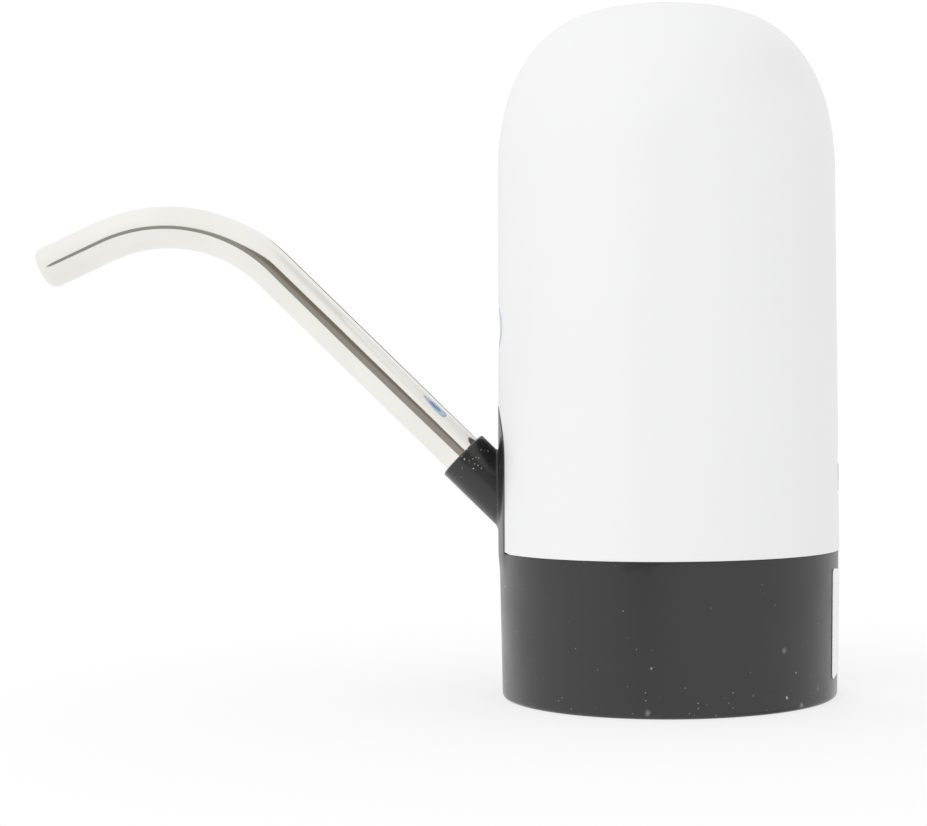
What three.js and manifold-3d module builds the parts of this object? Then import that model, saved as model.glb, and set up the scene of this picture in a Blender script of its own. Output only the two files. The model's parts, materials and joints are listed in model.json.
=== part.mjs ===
// Rechargeable water pump that stands on the neck of a drinking water jug.
// Millimetres, +Z up. The origin is on the body's axis in the plane of its bottom rim.
// The spout points along -X, the charging socket is at the back, +X.
import * as THREE from "three";
import { mergeVertices } from "three/addons/utils/BufferGeometryUtils.js";
import Module from "manifold-3d";

const wasm = await Module();
wasm.setup();

// Counts of sides and steps
const bodySides = 48;
const pumpSides = 20;
const boreSides = 14;
const screwSides = 8;
const wireSides = 6;
const domeSteps = 8;
const domeInnerSteps = 4;
const arcSteps = 4;

// Clearances
const seat = 0.3;
const running = 0.12;
const overrun = 1;

// Shell: white dome
const bodyDiameter = 65;
const bodyHeight = 130;
const seamHeight = 27.9;
const shellDraft = 0.32;
const shoulderHeight = 98.5;
const crownCurve = 145;
const crownEdge = 9.6;
const shoulderPower = 2.28;
const shellWall = 2;

// Base: black collar with deck and lip
const collarSeamInset = 0.15;
const collarDraft = 0.41;
const rimRound = 0.8;
const rimChamfer = 0.5;
const rimWall = 3.1;
const deckTop = 21.2;
const deckThickness = 2.4;
const lipHeight = 3.4;
const lipWall = 2;

// Tongue on the front of the base
const tongueWidth = 20.5;
const tongueTop = 55.4;
const tongueProud = 0.2;
const tongueWall = 3.1;
const tongueBlend = 1.2;

// Spout socket and its boss inside the tongue
const socketTilt = THREE.MathUtils.degToRad(45.4);
const socketReach = 6.9;
const socketHeight = 46;
const socketRadius = 5.2;
const socketEdge = 0.35;
const bossRadius = 7.2;
const bossDepth = 22.4;
const sealPocketDepth = 16.5;
const sealPocketRadius = 5.8;

// Spout: bent stainless tube
const spoutRadius = 4;
const spoutWall = 0.5;
const spoutInsertion = 19.4;
const spoutPushHome = 8.6;
const spoutVertex = 70.85;
const spoutEnd = 33.07;
const spoutTurn = THREE.MathUtils.degToRad(69.3);
const spoutBend = 29;
const spoutBendSteps = 10;

// Seal and outlet elbow behind the socket
const sealWall = 1.4;
const sealLength = 2;
const noseRadius = 5.5;
const elbowFlange = 1.5;
const elbowFlangeRadius = 6.6;
const elbowRadius = 5.4;
const elbowEndWall = 1.2;
const elbowBarbHeight = 27.75;
const elbowBarbEnd = 12.4;
const elbowBarbLength = 3.1;

// Hoses, barbs and clips
const barbRidge = 0.35;
const inletBarbRadius = 2.3;
const inletBarbBore = 1.5;
const inletHoseWall = 1.25;
const outletBarbRadius = 1.7;
const outletBarbBore = 1.1;
const outletHoseWall = 1;
const hoseFit = 0.08;
const outletHoseX = -7.6;
const outletHoseBend = 4.6;
const hoseBendSteps = 5;
const clipWall = 0.6;
const clipHeight = 2.4;
const clipSlot = 1.2;
const clipFit = 0.12;

// Nipple for the drop hose
const nippleStem = 3.4;
const nippleDrop = 11.8;
const nippleRise = 5.6;
const nippleFlangeRadius = 6.4;
const nippleFlange = 1.7;
const nippleBarbRadius = 3.4;
const nippleBarbSteps = 3;
const nippleRingSection = 0.7;
const nippleRingRadius = 4.7;

// Grip and seal for the jug's neck
const gripWall = 1.2;
const gripRibs = 12;
const gripRibWidth = 1.4;
const gripRibHeight = 0.3;
const gripBottom = 1.5;
const jugSealWidth = 5;
const jugSealThickness = 1.2;

// Pump head
const pumpX = -2.6;
const pumpGap = 0.9;
const pumpBottom = 40;
const pumpRadius = 13.2;
const coverHeight = 7;
const coverFloor = 3;
const outletPocketRadius = 4.2;
const inletPocketRadius = 2.5;
const portLength = 5.4;
const valvePlateHeight = 2.7;
const chamberRadius = 3.4;
const chamberDepth = 1.4;
const chamberCircle = 6.7;
const chamberTurn = THREE.MathUtils.degToRad(40);
const valveHoleRadius = 0.7;
const valveHoleCircle = 2.2;
const valveCapRadius = 3.4;
const valveCapHeight = 0.8;
const valveStemRadius = 0.6;
const diaphragmHeight = 1.5;
const diaphragmCupRadius = 3.2;
const diaphragmCupHeight = 1.5;
const housingHeight = 9.4;
const housingWall = 2.9;
const housingRoof = 1.4;
const wobbleRadius = 9;
const wobbleHeight = 1.3;
const wobbleHub = 4.6;
const wobbleBore = 3.5;
const wobbleArmWidth = 5;
const pumpScrewCircle = 11.6;
const pumpScrewTurn = THREE.MathUtils.degToRad(10);
const pumpScrewRadius = 0.9;
const pumpScrewHead = 1.5;
const pumpScrewHeadHeight = 1.2;
const pumpScrewLength = 15.6;

// Motor
const motorRadius = 12.2;
const motorLength = 30.4;
const motorWall = 0.8;
const magnetThickness = 1.4;
const magnetLength = 20;
const magnetLift = 4;
const magnetGapWidth = 9;
const armatureRadius = 8.9;
const armatureLength = 17;
const armatureLift = 5;
const armatureSlots = 3;
const armatureSlotWidth = 1.6;
const armatureSlotDepth = 4.4;
const commutatorRadius = 2.8;
const commutatorLength = 3;
const shaftRadius = 1;
const endCapPlug = 2.2;
const endCapFlange = 1.6;
const eccentricRadius = 4.4;
const eccentricHeight = 3.4;
const eccentricOffset = 2.2;
const eccentricPin = 0.9;
const eccentricPinLength = 2.6;

// Battery
const cellRadius = 9.2;
const cellLength = 65;
const cellGap = 0.6;
const cellNubRadius = 2.8;
const cellNubHeight = 0.8;

// Chassis
const footThickness = 2;
const footFront = 20.1;
const footMargin = 3.45;
const footEdgeRadius = 4;
const footPadRadius = 3;
const webThickness = 1.8;
const webY = 4.6;
const webHalfWidth = 16;
const wingHalfWidth = 18.3;
const shelfThickness = 2.5;
const shelfEdge = 10.5;
const deckScrewFront = 4.5;
const deckScrewBack = 6.4;

// Straps over motor and cell
const strapThickness = 1.3;
const strapHeight = 8;
const motorClampLift = 14.2;
const cellStrapLift = 30.2;
const strapEar = 4.6;
const strapEarThickness = 1.5;

// Screws
const screwRadius = 1.2;
const screwHeadRadius = 2.4;
const screwHeadHeight = 1.3;
const screwFit = 0.15;
const screwSlot = 0.5;
const shellScrewLength = 14;
const shellScrewInset = 8.1;
const shellScrewTurn = THREE.MathUtils.degToRad(45);
const shellScrews = 4;
const shellBossRadius = 2.8;
const shellBossTop = 46;
const shellRibWidth = 2;
const deckScrewLength = 4.6;
const strapScrewLength = 3;

// Power button and its board
const buttonLift = 14.6;
const buttonWide = 16.7;
const buttonTall = 9;
const buttonInset = 0.1;
const buttonFit = 0.25;
const buttonFlangeExtra = 1.5;
const buttonFlangeThickness = 1.1;
const buttonStemRadius = 2.2;
const buttonStemLength = 0.9;
const buttonTravel = 0.5;
const boardThickness = 1.2;
const buttonBoardInset = 8.7;
const buttonBoardHalfWidth = 8;
const buttonBoardHalfHeight = 14;
const switchSize = 6;
const switchDepth = 2.5;
const plungerRadius = 1.6;
const boardPostRadius = 2.1;
const buttonPostRise = 10;
const boardScrewRadius = 0.9;
const boardScrewHeadRadius = 1.7;
const boardScrewHeadHeight = 1;
const boardScrewLength = 4.6;

// Main board, charging socket, cover and light pipe
const mainBoardInset = 10.3;
const mainBoardHalfWidth = 13;
const mainBoardBottom = 34;
const mainBoardTop = 74;
const mainPostY = 9.5;
const mainPostHeight = 58;
const usbHeight = 42;
const usbWidth = 9;
const usbTall = 3.3;
const usbShell = 0.35;
const usbTongue = 0.8;
const coverWidth = 12.6;
const coverTall = 6.6;
const coverThickness = 1.5;
const coverGap = 0.25;
const coverLift = 0.05;
const lightHeight = 53;
const lightRadius = 1.3;
const lightHead = 2;

// Label on the back of the base
const labelWidth = 24;
const labelBottom = 4.1;
const labelTop = 24.6;
const labelCorner = 1;
const labelThickness = 0.15;
const labelGap = 0.05;

// Leads inside the shell
const leadRadius = 0.6;
const leadBend = 2.5;
const leadSteps = 3;
const leadRise = 3.1;
const leadInset = 4.7;
const leadSpacing = 2.6;
const boardLeadHeight = 70;

// Sizes that follow from the ones above
const bodyRadius = bodyDiameter / 2;
const wellRadius = bodyRadius - rimWall;
const crownSag = crownCurve - Math.sqrt(crownCurve ** 2 - crownEdge ** 2);
const deckBottom = deckTop - deckThickness;
const collarTop = seamHeight - seat;
const lipOuter = bodyRadius - shellWall - seat;
const lipInner = lipOuter - lipWall;
const lipTop = collarTop + lipHeight;
const buttonHeight = tongueTop + buttonLift;
const socketX = -(bodyRadius + socketReach);
const footBottom = deckTop + seat;
const nippleFlangeTop = footBottom + nippleFlange;
const footTop = nippleFlangeTop + seat + footThickness;
const cellBottom = footTop + seat;
const coverTop = pumpBottom + coverHeight;
const valveBottom = coverTop + seat;
const valveTop = valveBottom + valvePlateHeight;
const diaphragmBottom = valveTop + seat;
const diaphragmTop = diaphragmBottom + diaphragmHeight;
const housingBottom = diaphragmTop + seat;
const housingTop = housingBottom + housingHeight;
const motorBottom = housingTop + seat;
const motorTop = motorBottom + motorLength;
const shelfTop = pumpBottom - seat;
const inletHoseRadius = inletBarbRadius + hoseFit + inletHoseWall;
const outletHoseRadius = outletBarbRadius + hoseFit + outletHoseWall;
const gripInner = wellRadius - seat - gripWall;
const neckBore = gripInner - gripRibHeight;
const gripTop = deckBottom - seat;
const jugSealBottom = gripTop - jugSealThickness;
const jugSealOuter = neckBore - seat;
const jugSealInner = jugSealOuter - jugSealWidth;
const nippleRoot = deckBottom - jugSealThickness;
const nippleTip = nippleRoot - nippleDrop;
const pumpY = webY - pumpGap - pumpRadius;
const cellY = webY + webThickness + cellGap + cellRadius;
const shellScrewCircle = bodyRadius - shellScrewInset;
const footHalfWidth = shellScrewCircle * Math.cos(shellScrewTurn) - shellBossRadius - footMargin;
const footFrontY = webY - footFront;
const deckScrewX = footHalfWidth - footPadRadius;
const deckScrewFrontY = footFrontY + deckScrewFront;
const deckScrewBackY = cellY + cellRadius - deckScrewBack;
const motorClampHeight = motorBottom + motorClampLift;
const cellStrapHeight = cellBottom + cellStrapLift;
const webTop = motorClampHeight + strapHeight;
const buttonBoardX = buttonBoardInset - bodyRadius;
const mainBoardX = bodyRadius - mainBoardInset;
const cellTop = cellBottom + cellLength + seat;
const motorTerminal = motorTop + 2 * seat + endCapFlange;
const leadTop = Math.max(cellTop, motorTerminal) + leadRise;
const leadBack = mainBoardX - leadInset;

// Geometry helpers. Each works on closed geometry and gives closed geometry back.

// A closed solid from a geometry: shared corners are merged and faces are turned to point out.
function solid(source) {
  const bare = source.index ? source.toNonIndexed() : source.clone();
  bare.deleteAttribute("normal");
  bare.deleteAttribute("uv");
  const merged = mergeVertices(bare, 1e-4);
  const triangles = [];
  const index = merged.index.array;
  for (let i = 0; i < index.length; i += 3) {
    const [a, b, c] = [index[i], index[i + 1], index[i + 2]];
    if (a !== b && b !== c && c !== a) triangles.push(a, b, c);
  }
  const vertProperties = new Float32Array(merged.attributes.position.array);
  const build = (triVerts) => new wasm.Manifold(new wasm.Mesh({ numProp: 3, vertProperties, triVerts }));
  const made = build(new Uint32Array(triangles));
  if (made.volume() > 0) return made;
  return build(new Uint32Array(triangles.reverse()));
}

// A three.js geometry from a solid.
function geometryOf(made) {
  const mesh = made.getMesh();
  const count = mesh.vertProperties.length / mesh.numProp;
  const points = new Float32Array(count * 3);
  for (let i = 0; i < count; i += 1) {
    points.set(mesh.vertProperties.subarray(i * mesh.numProp, i * mesh.numProp + 3), i * 3);
  }
  const geometry = new THREE.BufferGeometry();
  geometry.setAttribute("position", new THREE.BufferAttribute(points, 3));
  geometry.setIndex(new THREE.BufferAttribute(new Uint32Array(mesh.triVerts), 1));
  geometry.computeVertexNormals();
  return geometry;
}

const join = (first, ...rest) => rest.reduce((sum, next) => sum.add(next), first);
const cut = (first, ...rest) => rest.reduce((left, next) => left.subtract(next), first);

// The geometry moved by x, y, z, after turns about X, Y and Z.
function placed(geometry, x = 0, y = 0, z = 0, turnX = 0, turnY = 0, turnZ = 0) {
  const turn = new THREE.Euler(turnX, turnY, turnZ, "XYZ");
  const matrix = new THREE.Matrix4().makeRotationFromEuler(turn);
  matrix.setPosition(x, y, z);
  return geometry.clone().applyMatrix4(matrix);
}

// A solid of revolution about +Z from [radius, height] points. A ring closes on its first point.
function turned(points, sides = bodySides) {
  const onAxis = points[0][0] === 0 && points[points.length - 1][0] === 0;
  const outline = onAxis ? points : [...points, points[0]];
  const profile = outline.map(([radius, height]) => new THREE.Vector2(radius, height));
  return new THREE.LatheGeometry(profile, sides).rotateX(Math.PI / 2);
}

// A cylinder about +Z, from height z0 to z1.
const disc = (radius, z0, z1, sides = pumpSides) =>
  turned([[0, z0], [radius, z0], [radius, z1], [0, z1]], sides);

// A plain ring about +Z, from height z0 to z1.
const ring = (inner, outer, z0, z1, sides = pumpSides) =>
  turned([[inner, z0], [outer, z0], [outer, z1], [inner, z1]], sides);

// A box between two corners.
function block(x0, x1, y0, y1, z0, z1) {
  const box = new THREE.BoxGeometry(x1 - x0, y1 - y0, z1 - z0);
  return box.translate((x0 + x1) / 2, (y0 + y1) / 2, (z0 + z1) / 2);
}

// A prism of an outline in the XY plane, from z0 to z1.
function prism(shape, z0, z1) {
  const settings = { depth: z1 - z0, bevelEnabled: false, curveSegments: arcSteps };
  return new THREE.ExtrudeGeometry(shape, settings).translate(0, 0, z0);
}

// A rectangle with round corners, centred on x, y.
function roundedRectangle(width, height, corner, x = 0, y = 0) {
  const shape = new THREE.Shape();
  const [left, right] = [x - width / 2, x + width / 2];
  const [low, high] = [y - height / 2, y + height / 2];
  shape.moveTo(left + corner, low);
  shape.lineTo(right - corner, low);
  shape.absarc(right - corner, low + corner, corner, -Math.PI / 2, 0);
  shape.lineTo(right, high - corner);
  shape.absarc(right - corner, high - corner, corner, 0, Math.PI / 2);
  shape.lineTo(left + corner, high);
  shape.absarc(left + corner, high - corner, corner, Math.PI / 2, Math.PI);
  shape.lineTo(left, low + corner);
  shape.absarc(left + corner, low + corner, corner, Math.PI, Math.PI * 1.5);
  return shape;
}

// An outline in the YZ plane, drawn as (y, z), made a prism along X from x0 to x1.
function prismAlongX(shape, x0, x1) {
  const geometry = prism(shape, x0, x1);
  const axes = new THREE.Matrix4();
  axes.makeBasis(new THREE.Vector3(0, 1, 0), new THREE.Vector3(0, 0, 1), new THREE.Vector3(1, 0, 0));
  return geometry.applyMatrix4(axes);
}

// A route of straight legs with a round bend at each inner point. It spends its steps in the bends.
class PipeRoute extends THREE.Curve {
  constructor(points, bend, bendSteps) {
    super();
    this.pieces = [];
    let legStart = points[0];
    for (let i = 1; i < points.length - 1; i += 1) {
      const into = points[i].clone().sub(points[i - 1]).normalize();
      const out = points[i + 1].clone().sub(points[i]).normalize();
      const angle = into.angleTo(out);
      const reach = bend * Math.tan(angle / 2);
      const arcStart = points[i].clone().addScaledVector(into, -reach);
      const inward = out.clone().addScaledVector(into, -into.dot(out)).normalize();
      this.addLeg(legStart, arcStart);
      this.pieces.push({
        steps: bendSteps,
        at: (share) =>
          arcStart
            .clone()
            .addScaledVector(into, bend * Math.sin(angle * share))
            .addScaledVector(inward, bend * (1 - Math.cos(angle * share))),
      });
      legStart = points[i].clone().addScaledVector(out, reach);
    }
    this.addLeg(legStart, points[points.length - 1]);
    this.steps = this.pieces.reduce((sum, piece) => sum + piece.steps, 0);
  }

  addLeg(start, end) {
    this.pieces.push({ steps: 1, at: (share) => start.clone().lerp(end, share) });
  }

  getPoint(share) {
    let step = THREE.MathUtils.clamp(share, 0, 1) * this.steps;
    for (const piece of this.pieces) {
      if (step <= piece.steps) return piece.at(step / piece.steps);
      step -= piece.steps;
    }
    return this.pieces[this.pieces.length - 1].at(1);
  }

  getUtoTmapping(share) {
    return share;
  }
}

// A round bar along a route.
function bar(route, radius, sides) {
  const section = new THREE.Shape(circlePoints(radius, sides));
  const settings = { steps: route.steps, bevelEnabled: false, extrudePath: route };
  return new THREE.ExtrudeGeometry(section, settings);
}

// Corner points of a circle.
function circlePoints(radius, sides) {
  const points = [];
  for (let i = 0; i < sides; i += 1) {
    const angle = (i / sides) * Math.PI * 2;
    points.push(new THREE.Vector2(radius * Math.cos(angle), radius * Math.sin(angle)));
  }
  return points;
}

// The same route, made longer by a stretch at both ends.
function lengthened(points, extra) {
  const first = points[0].clone().sub(points[1]).normalize();
  const last = points[points.length - 1].clone().sub(points[points.length - 2]).normalize();
  const longer = points.map((point) => point.clone());
  longer[0].addScaledVector(first, extra);
  longer[longer.length - 1].addScaledVector(last, extra);
  return longer;
}

// An open tube along a route.
function pipe(points, bend, bendSteps, radius, bore, sides) {
  const outside = bar(new PipeRoute(points, bend, bendSteps), radius, sides);
  const inside = bar(new PipeRoute(lengthened(points, overrun), bend, bendSteps), bore, sides);
  return cut(solid(outside), solid(inside));
}

const finish = (color, roughness, metalness) =>
  new THREE.MeshStandardMaterial({ color, roughness, metalness });

// Finishes
const whitePlastic = finish(0xf2f2f2, 0.38, 0);
const blackPlastic = finish(0x3a3b3c, 0.42, 0);
const steel = finish(0xcfcabd, 0.16, 1);
const zinc = finish(0xb4b6b8, 0.35, 1);
const paleBlue = finish(0xcdd4e0, 0.3, 0);
const paper = finish(0xf4f4f2, 0.6, 0);
const silicone = finish(0xe4e6e2, 0.5, 0);
const blackRubber = finish(0x1d1e1f, 0.7, 0);
const greyNylon = finish(0x6f7276, 0.55, 0);
const whiteNylon = finish(0xd9dad6, 0.5, 0);
const boardGreen = finish(0x1f5a3c, 0.5, 0);
const cellWrap = finish(0x3f7fb0, 0.4, 0);
const brass = finish(0xb99a5a, 0.35, 1);
const magnetGrey = finish(0x46484a, 0.6, 0.3);
const armatureBrown = finish(0x7c4a2c, 0.5, 0.4);
const clearPlastic = finish(0xe8eef2, 0.15, 0);
const redWire = finish(0xa82c28, 0.5, 0);
const blackWire = finish(0x202122, 0.5, 0);

const pump = new THREE.Group();

// Adds a named piece to a group, from a geometry or a solid.
function add(group, name, shape, material) {
  const geometry = shape.isBufferGeometry ? geometryOf(solid(shape)) : geometryOf(shape);
  const mesh = new THREE.Mesh(geometry, material);
  mesh.name = name;
  group.add(mesh);
  return mesh;
}

// Shell

// Outer radius of the shell's straight wall at a height.
function shellRadius(height) {
  const share = (height - seamHeight) / (shoulderHeight - seamHeight);
  return bodyRadius - shellDraft * share;
}

// Profile of the dome from the wall to the axis: its outside, or its inside when drawn in by the wall.
function domeProfile(inset, steps) {
  const wallRadius = bodyRadius - shellDraft - inset;
  const rise = bodyHeight - crownSag - inset - shoulderHeight;
  const points = [];
  for (let i = 0; i < steps; i += 1) {
    const angle = (i / steps) * (Math.PI / 2);
    const across = Math.cos(angle) ** (2 / shoulderPower);
    const up = Math.sin(angle) ** (2 / shoulderPower);
    points.push([crownEdge + (wallRadius - crownEdge) * across, shoulderHeight + rise * up]);
  }
  points.push([crownEdge, shoulderHeight + rise]);
  points.push([crownEdge / 2, bodyHeight - inset - crownSag / 4]);
  points.push([0, bodyHeight - inset]);
  return points;
}

// Arch outline of the tongue, as (y, z), widened all round by a margin, starting at a height.
function archOutline(bottom, margin) {
  const half = tongueWidth / 2 + margin;
  const centre = tongueTop - tongueWidth / 2;
  const shape = new THREE.Shape();
  shape.moveTo(-half, bottom);
  shape.lineTo(half, bottom);
  shape.lineTo(half, centre);
  const steps = arcSteps * 4;
  for (let i = 1; i <= steps; i += 1) {
    const angle = (i / steps) * Math.PI;
    shape.lineTo(half * Math.cos(angle), centre + half * Math.sin(angle));
  }
  return shape;
}

// Oval outline of the button, as (y, z), widened by a margin.
function ovalOutline(margin) {
  const shape = new THREE.Shape();
  const sides = boreSides * 2;
  for (let i = 0; i < sides; i += 1) {
    const angle = (i / sides) * Math.PI * 2;
    const y = (buttonWide / 2 + margin) * Math.cos(angle);
    const z = buttonHeight + (buttonTall / 2 + margin) * Math.sin(angle);
    if (i === 0) shape.moveTo(y, z);
    else shape.lineTo(y, z);
  }
  return shape;
}

// Centre of screw boss number i.
function shellScrewPlace(i) {
  const angle = shellScrewTurn + (i / shellScrews) * Math.PI * 2;
  return [shellScrewCircle * Math.cos(angle), shellScrewCircle * Math.sin(angle), angle];
}

const innerWall = (height) => shellRadius(height) - shellWall;
const screwBore = screwRadius + screwFit;
const boardScrewBore = boardScrewRadius + screwFit;
const usbOpening = roundedRectangle(
  coverWidth + 2 * coverGap,
  coverTall + 2 * coverGap,
  labelCorner,
  0,
  usbHeight,
);

// A post that stands in from the shell's wall to a board's face at y, z, with its screw hole.
// Side is -1 at the front of the shell and 1 at its back.
function boardPost(side, face, y, z) {
  const end = innerWall(z) + shellWall / 2;
  const length = Math.sqrt(end ** 2 - y ** 2) - face;
  const across = (side * Math.PI) / 2;
  const post = disc(boardPostRadius, 0, length, boreSides);
  const hole = disc(boardScrewBore, -overrun, boardScrewLength, screwSides);
  return {
    post: placed(post, side * face, y, z, 0, across),
    hole: placed(hole, side * face, y, z, 0, across),
  };
}

const buttonPosts = [-1, 1].map((side) =>
  boardPost(-1, -buttonBoardX + seat, 0, buttonHeight + side * buttonPostRise),
);
const mainBoardOuter = mainBoardX + boardThickness;
const mainPosts = [-1, 1].map((side) =>
  boardPost(1, mainBoardOuter + seat, side * mainPostY, mainPostHeight),
);

function outerShell() {
  const outside = [[bodyRadius, seamHeight], ...domeProfile(0, domeSteps)];
  const inside = [[bodyRadius - shellWall, seamHeight], ...domeProfile(shellWall, domeInnerSteps)];
  let made = solid(turned([...outside, ...inside.reverse()]));
  for (let i = 0; i < shellScrews; i += 1) {
    const [x, y, angle] = shellScrewPlace(i);
    const boss = placed(disc(shellBossRadius, footBottom, shellBossTop, boreSides), x, y, 0);
    const ribEnd = bodyRadius - shellWall / 2;
    const ribHalf = shellRibWidth / 2;
    const rib = block(shellScrewCircle, ribEnd, -ribHalf, ribHalf, lipTop + seat, shellBossTop);
    made = join(made, solid(boss), solid(placed(rib, 0, 0, 0, 0, 0, angle)));
  }
  for (const { post } of [...buttonPosts, ...mainPosts]) made = made.add(solid(post));
  for (const { hole } of [...buttonPosts, ...mainPosts]) made = made.subtract(solid(hole));
  for (let i = 0; i < shellScrews; i += 1) {
    const [x, y] = shellScrewPlace(i);
    const bore = disc(screwBore, footBottom - overrun, footBottom + shellScrewLength, screwSides);
    made = made.subtract(solid(placed(bore, x, y, 0)));
  }
  const frontEdge = -bodyRadius - overrun;
  const arch = prismAlongX(archOutline(seamHeight - overrun, seat), frontEdge, -lipInner);
  const button = prismAlongX(ovalOutline(buttonFit), frontEdge, -lipInner);
  const usb = prismAlongX(usbOpening, innerWall(usbHeight) - overrun, bodyRadius + overrun);
  const lightStart = innerWall(lightHeight) - overrun;
  const lightHole = disc(lightRadius + running, 0, shellWall + 2 * overrun, boreSides);
  const light = placed(lightHole, lightStart, 0, lightHeight, 0, Math.PI / 2);
  return cut(made, solid(arch), solid(button), solid(usb), solid(light));
}

add(pump, "outer_shell", outerShell(), whitePlastic);

// Base

const socketMatrix = new THREE.Matrix4().makeRotationY(-socketTilt);
socketMatrix.setPosition(socketX, 0, socketHeight);
const onSocket = (geometry) => geometry.clone().applyMatrix4(socketMatrix);

const deckScrewPlaces = [
  [deckScrewX, deckScrewFrontY],
  [-deckScrewX, deckScrewFrontY],
  [0, deckScrewBackY],
];

function baseCollar() {
  const topRadius = bodyRadius - collarSeamInset;
  const rimRadius = topRadius - collarDraft;
  const profile = [
    [nippleStem + running, deckTop],
    [lipInner, deckTop],
    [lipInner, lipTop],
    [lipOuter, lipTop],
    [lipOuter, collarTop],
    [topRadius, collarTop],
    [rimRadius, rimRound],
  ];
  const rimSteps = 2;
  for (let i = 1; i <= rimSteps; i += 1) {
    const angle = (i / rimSteps) * (Math.PI / 2);
    profile.push([rimRadius - rimRound * (1 - Math.cos(angle)), rimRound * (1 - Math.sin(angle))]);
  }
  profile.push([wellRadius + rimChamfer, 0], [wellRadius, rimChamfer], [wellRadius, deckBottom]);
  profile.push([nippleStem + running, deckBottom]);
  const body = solid(turned(profile));

  const tongueInner = bodyRadius - tongueWall;
  const tongueFoot = collarTop - tongueBlend;
  const tongueBand = solid(
    turned([
      [tongueInner, tongueFoot],
      [topRadius - tongueProud, tongueFoot],
      [shellRadius(collarTop) + tongueProud, collarTop],
      [shellRadius(tongueTop) + tongueProud, tongueTop],
      [tongueInner, tongueTop],
    ]),
  );
  const front = -bodyRadius - overrun;
  const arch = prismAlongX(archOutline(tongueFoot - overrun, 0), front, -lipInner / 2);
  const tongue = tongueBand.intersect(solid(arch));

  const mouth = solid(
    onSocket(
      turned([
        [0, 0],
        [socketRadius - socketEdge, 0],
        [socketRadius, -socketEdge],
        [socketRadius, -sealPocketDepth],
        [0, -sealPocketDepth],
      ], pumpSides),
    ),
  );
  const bossSolid = solid(onSocket(disc(bossRadius, -bossDepth, 0, pumpSides)));
  const insideTongue = solid(
    turned([
      [0, deckTop],
      [shellRadius(deckTop), deckTop],
      [shellRadius(tongueTop), tongueTop],
      [0, tongueTop],
    ]),
  );
  const bossArch = solid(prismAlongX(archOutline(deckTop, 0), front, 0));
  const boss = bossSolid.intersect(insideTongue).intersect(bossArch);
  const bore = solid(onSocket(disc(spoutRadius + running, -bossDepth - overrun, overrun, pumpSides)));
  const pocket = solid(onSocket(disc(sealPocketRadius, -bossDepth - overrun, -sealPocketDepth, pumpSides)));

  const holes = [];
  for (let i = 0; i < shellScrews; i += 1) {
    const [x, y] = shellScrewPlace(i);
    holes.push(...screwHoles(x, y));
  }
  for (const [x, y] of deckScrewPlaces) holes.push(...screwHoles(x, y));
  const groove = ring(
    nippleRingRadius - nippleRingSection - running,
    nippleRingRadius + nippleRingSection + running,
    deckTop - nippleRingSection,
    deckTop + overrun,
  );
  return cut(join(body, tongue, mouth, boss), bore, pocket, solid(groove), ...holes);
}

// Clearance hole and head recess of a screw that goes up through the deck.
function screwHoles(x, y) {
  const shank = placed(disc(screwBore, deckBottom - overrun, deckTop + overrun, screwSides), x, y, 0);
  const recessTop = deckBottom + screwHeadHeight;
  const recess = disc(screwHeadRadius + screwFit, deckBottom - overrun, recessTop, screwSides);
  return [solid(shank), solid(placed(recess, x, y, 0))];
}

add(pump, "base_collar", baseCollar(), blackPlastic);

// Label
function ratingLabel() {
  const topRadius = bodyRadius - collarSeamInset;
  const slope = collarDraft / (collarTop - rimRound);
  const at = (height) => topRadius - slope * (collarTop - height) + labelGap;
  const band = turned([
    [at(labelBottom), labelBottom],
    [at(labelBottom) + labelThickness, labelBottom],
    [at(labelTop) + labelThickness, labelTop],
    [at(labelTop), labelTop],
  ]);
  const middle = (labelBottom + labelTop) / 2;
  const outline = roundedRectangle(labelWidth, labelTop - labelBottom, labelCorner, 0, middle);
  return solid(band).intersect(solid(prismAlongX(outline, 0, bodyRadius + overrun)));
}

add(pump, "rating_label", ratingLabel(), paper);

// Neck grip and jug seal
function neckSleeve() {
  const outer = wellRadius - seat;
  const sleeve = solid(ring(gripInner, outer, gripBottom, gripTop, bodySides));
  const ribs = [];
  for (let i = 0; i < gripRibs; i += 1) {
    const half = gripRibWidth / 2;
    const rib = block(neckBore, gripInner + gripRibHeight, -half, half, gripBottom, gripTop);
    ribs.push(solid(placed(rib, 0, 0, 0, 0, 0, (i / gripRibs) * Math.PI * 2)));
  }
  return join(sleeve, ...ribs);
}

add(pump, "neck_sleeve", neckSleeve(), blackRubber);
add(pump, "jug_seal", ring(jugSealInner, jugSealOuter, jugSealBottom, gripTop, bodySides), silicone);

// Inlet nipple: its barb for the drop hose points down, its barb for the inlet hose points up.
function inletNipple() {
  const flange = solid(disc(nippleFlangeRadius, footBottom, nippleFlangeTop));
  const stem = solid(disc(nippleStem, nippleRoot, footBottom + nippleFlange / 2, boreSides));
  const down = solid(
    turned([
      [0, nippleRoot],
      ...taperedSteps(nippleBarbRadius, nippleRoot, -nippleDrop, nippleBarbSteps),
      [0, nippleTip],
    ], boreSides),
  );
  const up = solid(
    turned([
      [0, nippleFlangeTop - nippleFlange / 2],
      [inletBarbRadius - barbRidge, nippleFlangeTop - nippleFlange / 2],
      ...taperedSteps(inletBarbRadius, nippleFlangeTop, nippleRise, nippleBarbSteps),
      [0, nippleFlangeTop + nippleRise],
    ], boreSides),
  );
  const boreTop = nippleFlangeTop + nippleRise + overrun;
  const bore = disc(inletBarbBore, nippleTip - overrun, boreTop, boreSides);
  return cut(join(flange, stem, down, up), solid(bore));
}

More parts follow.
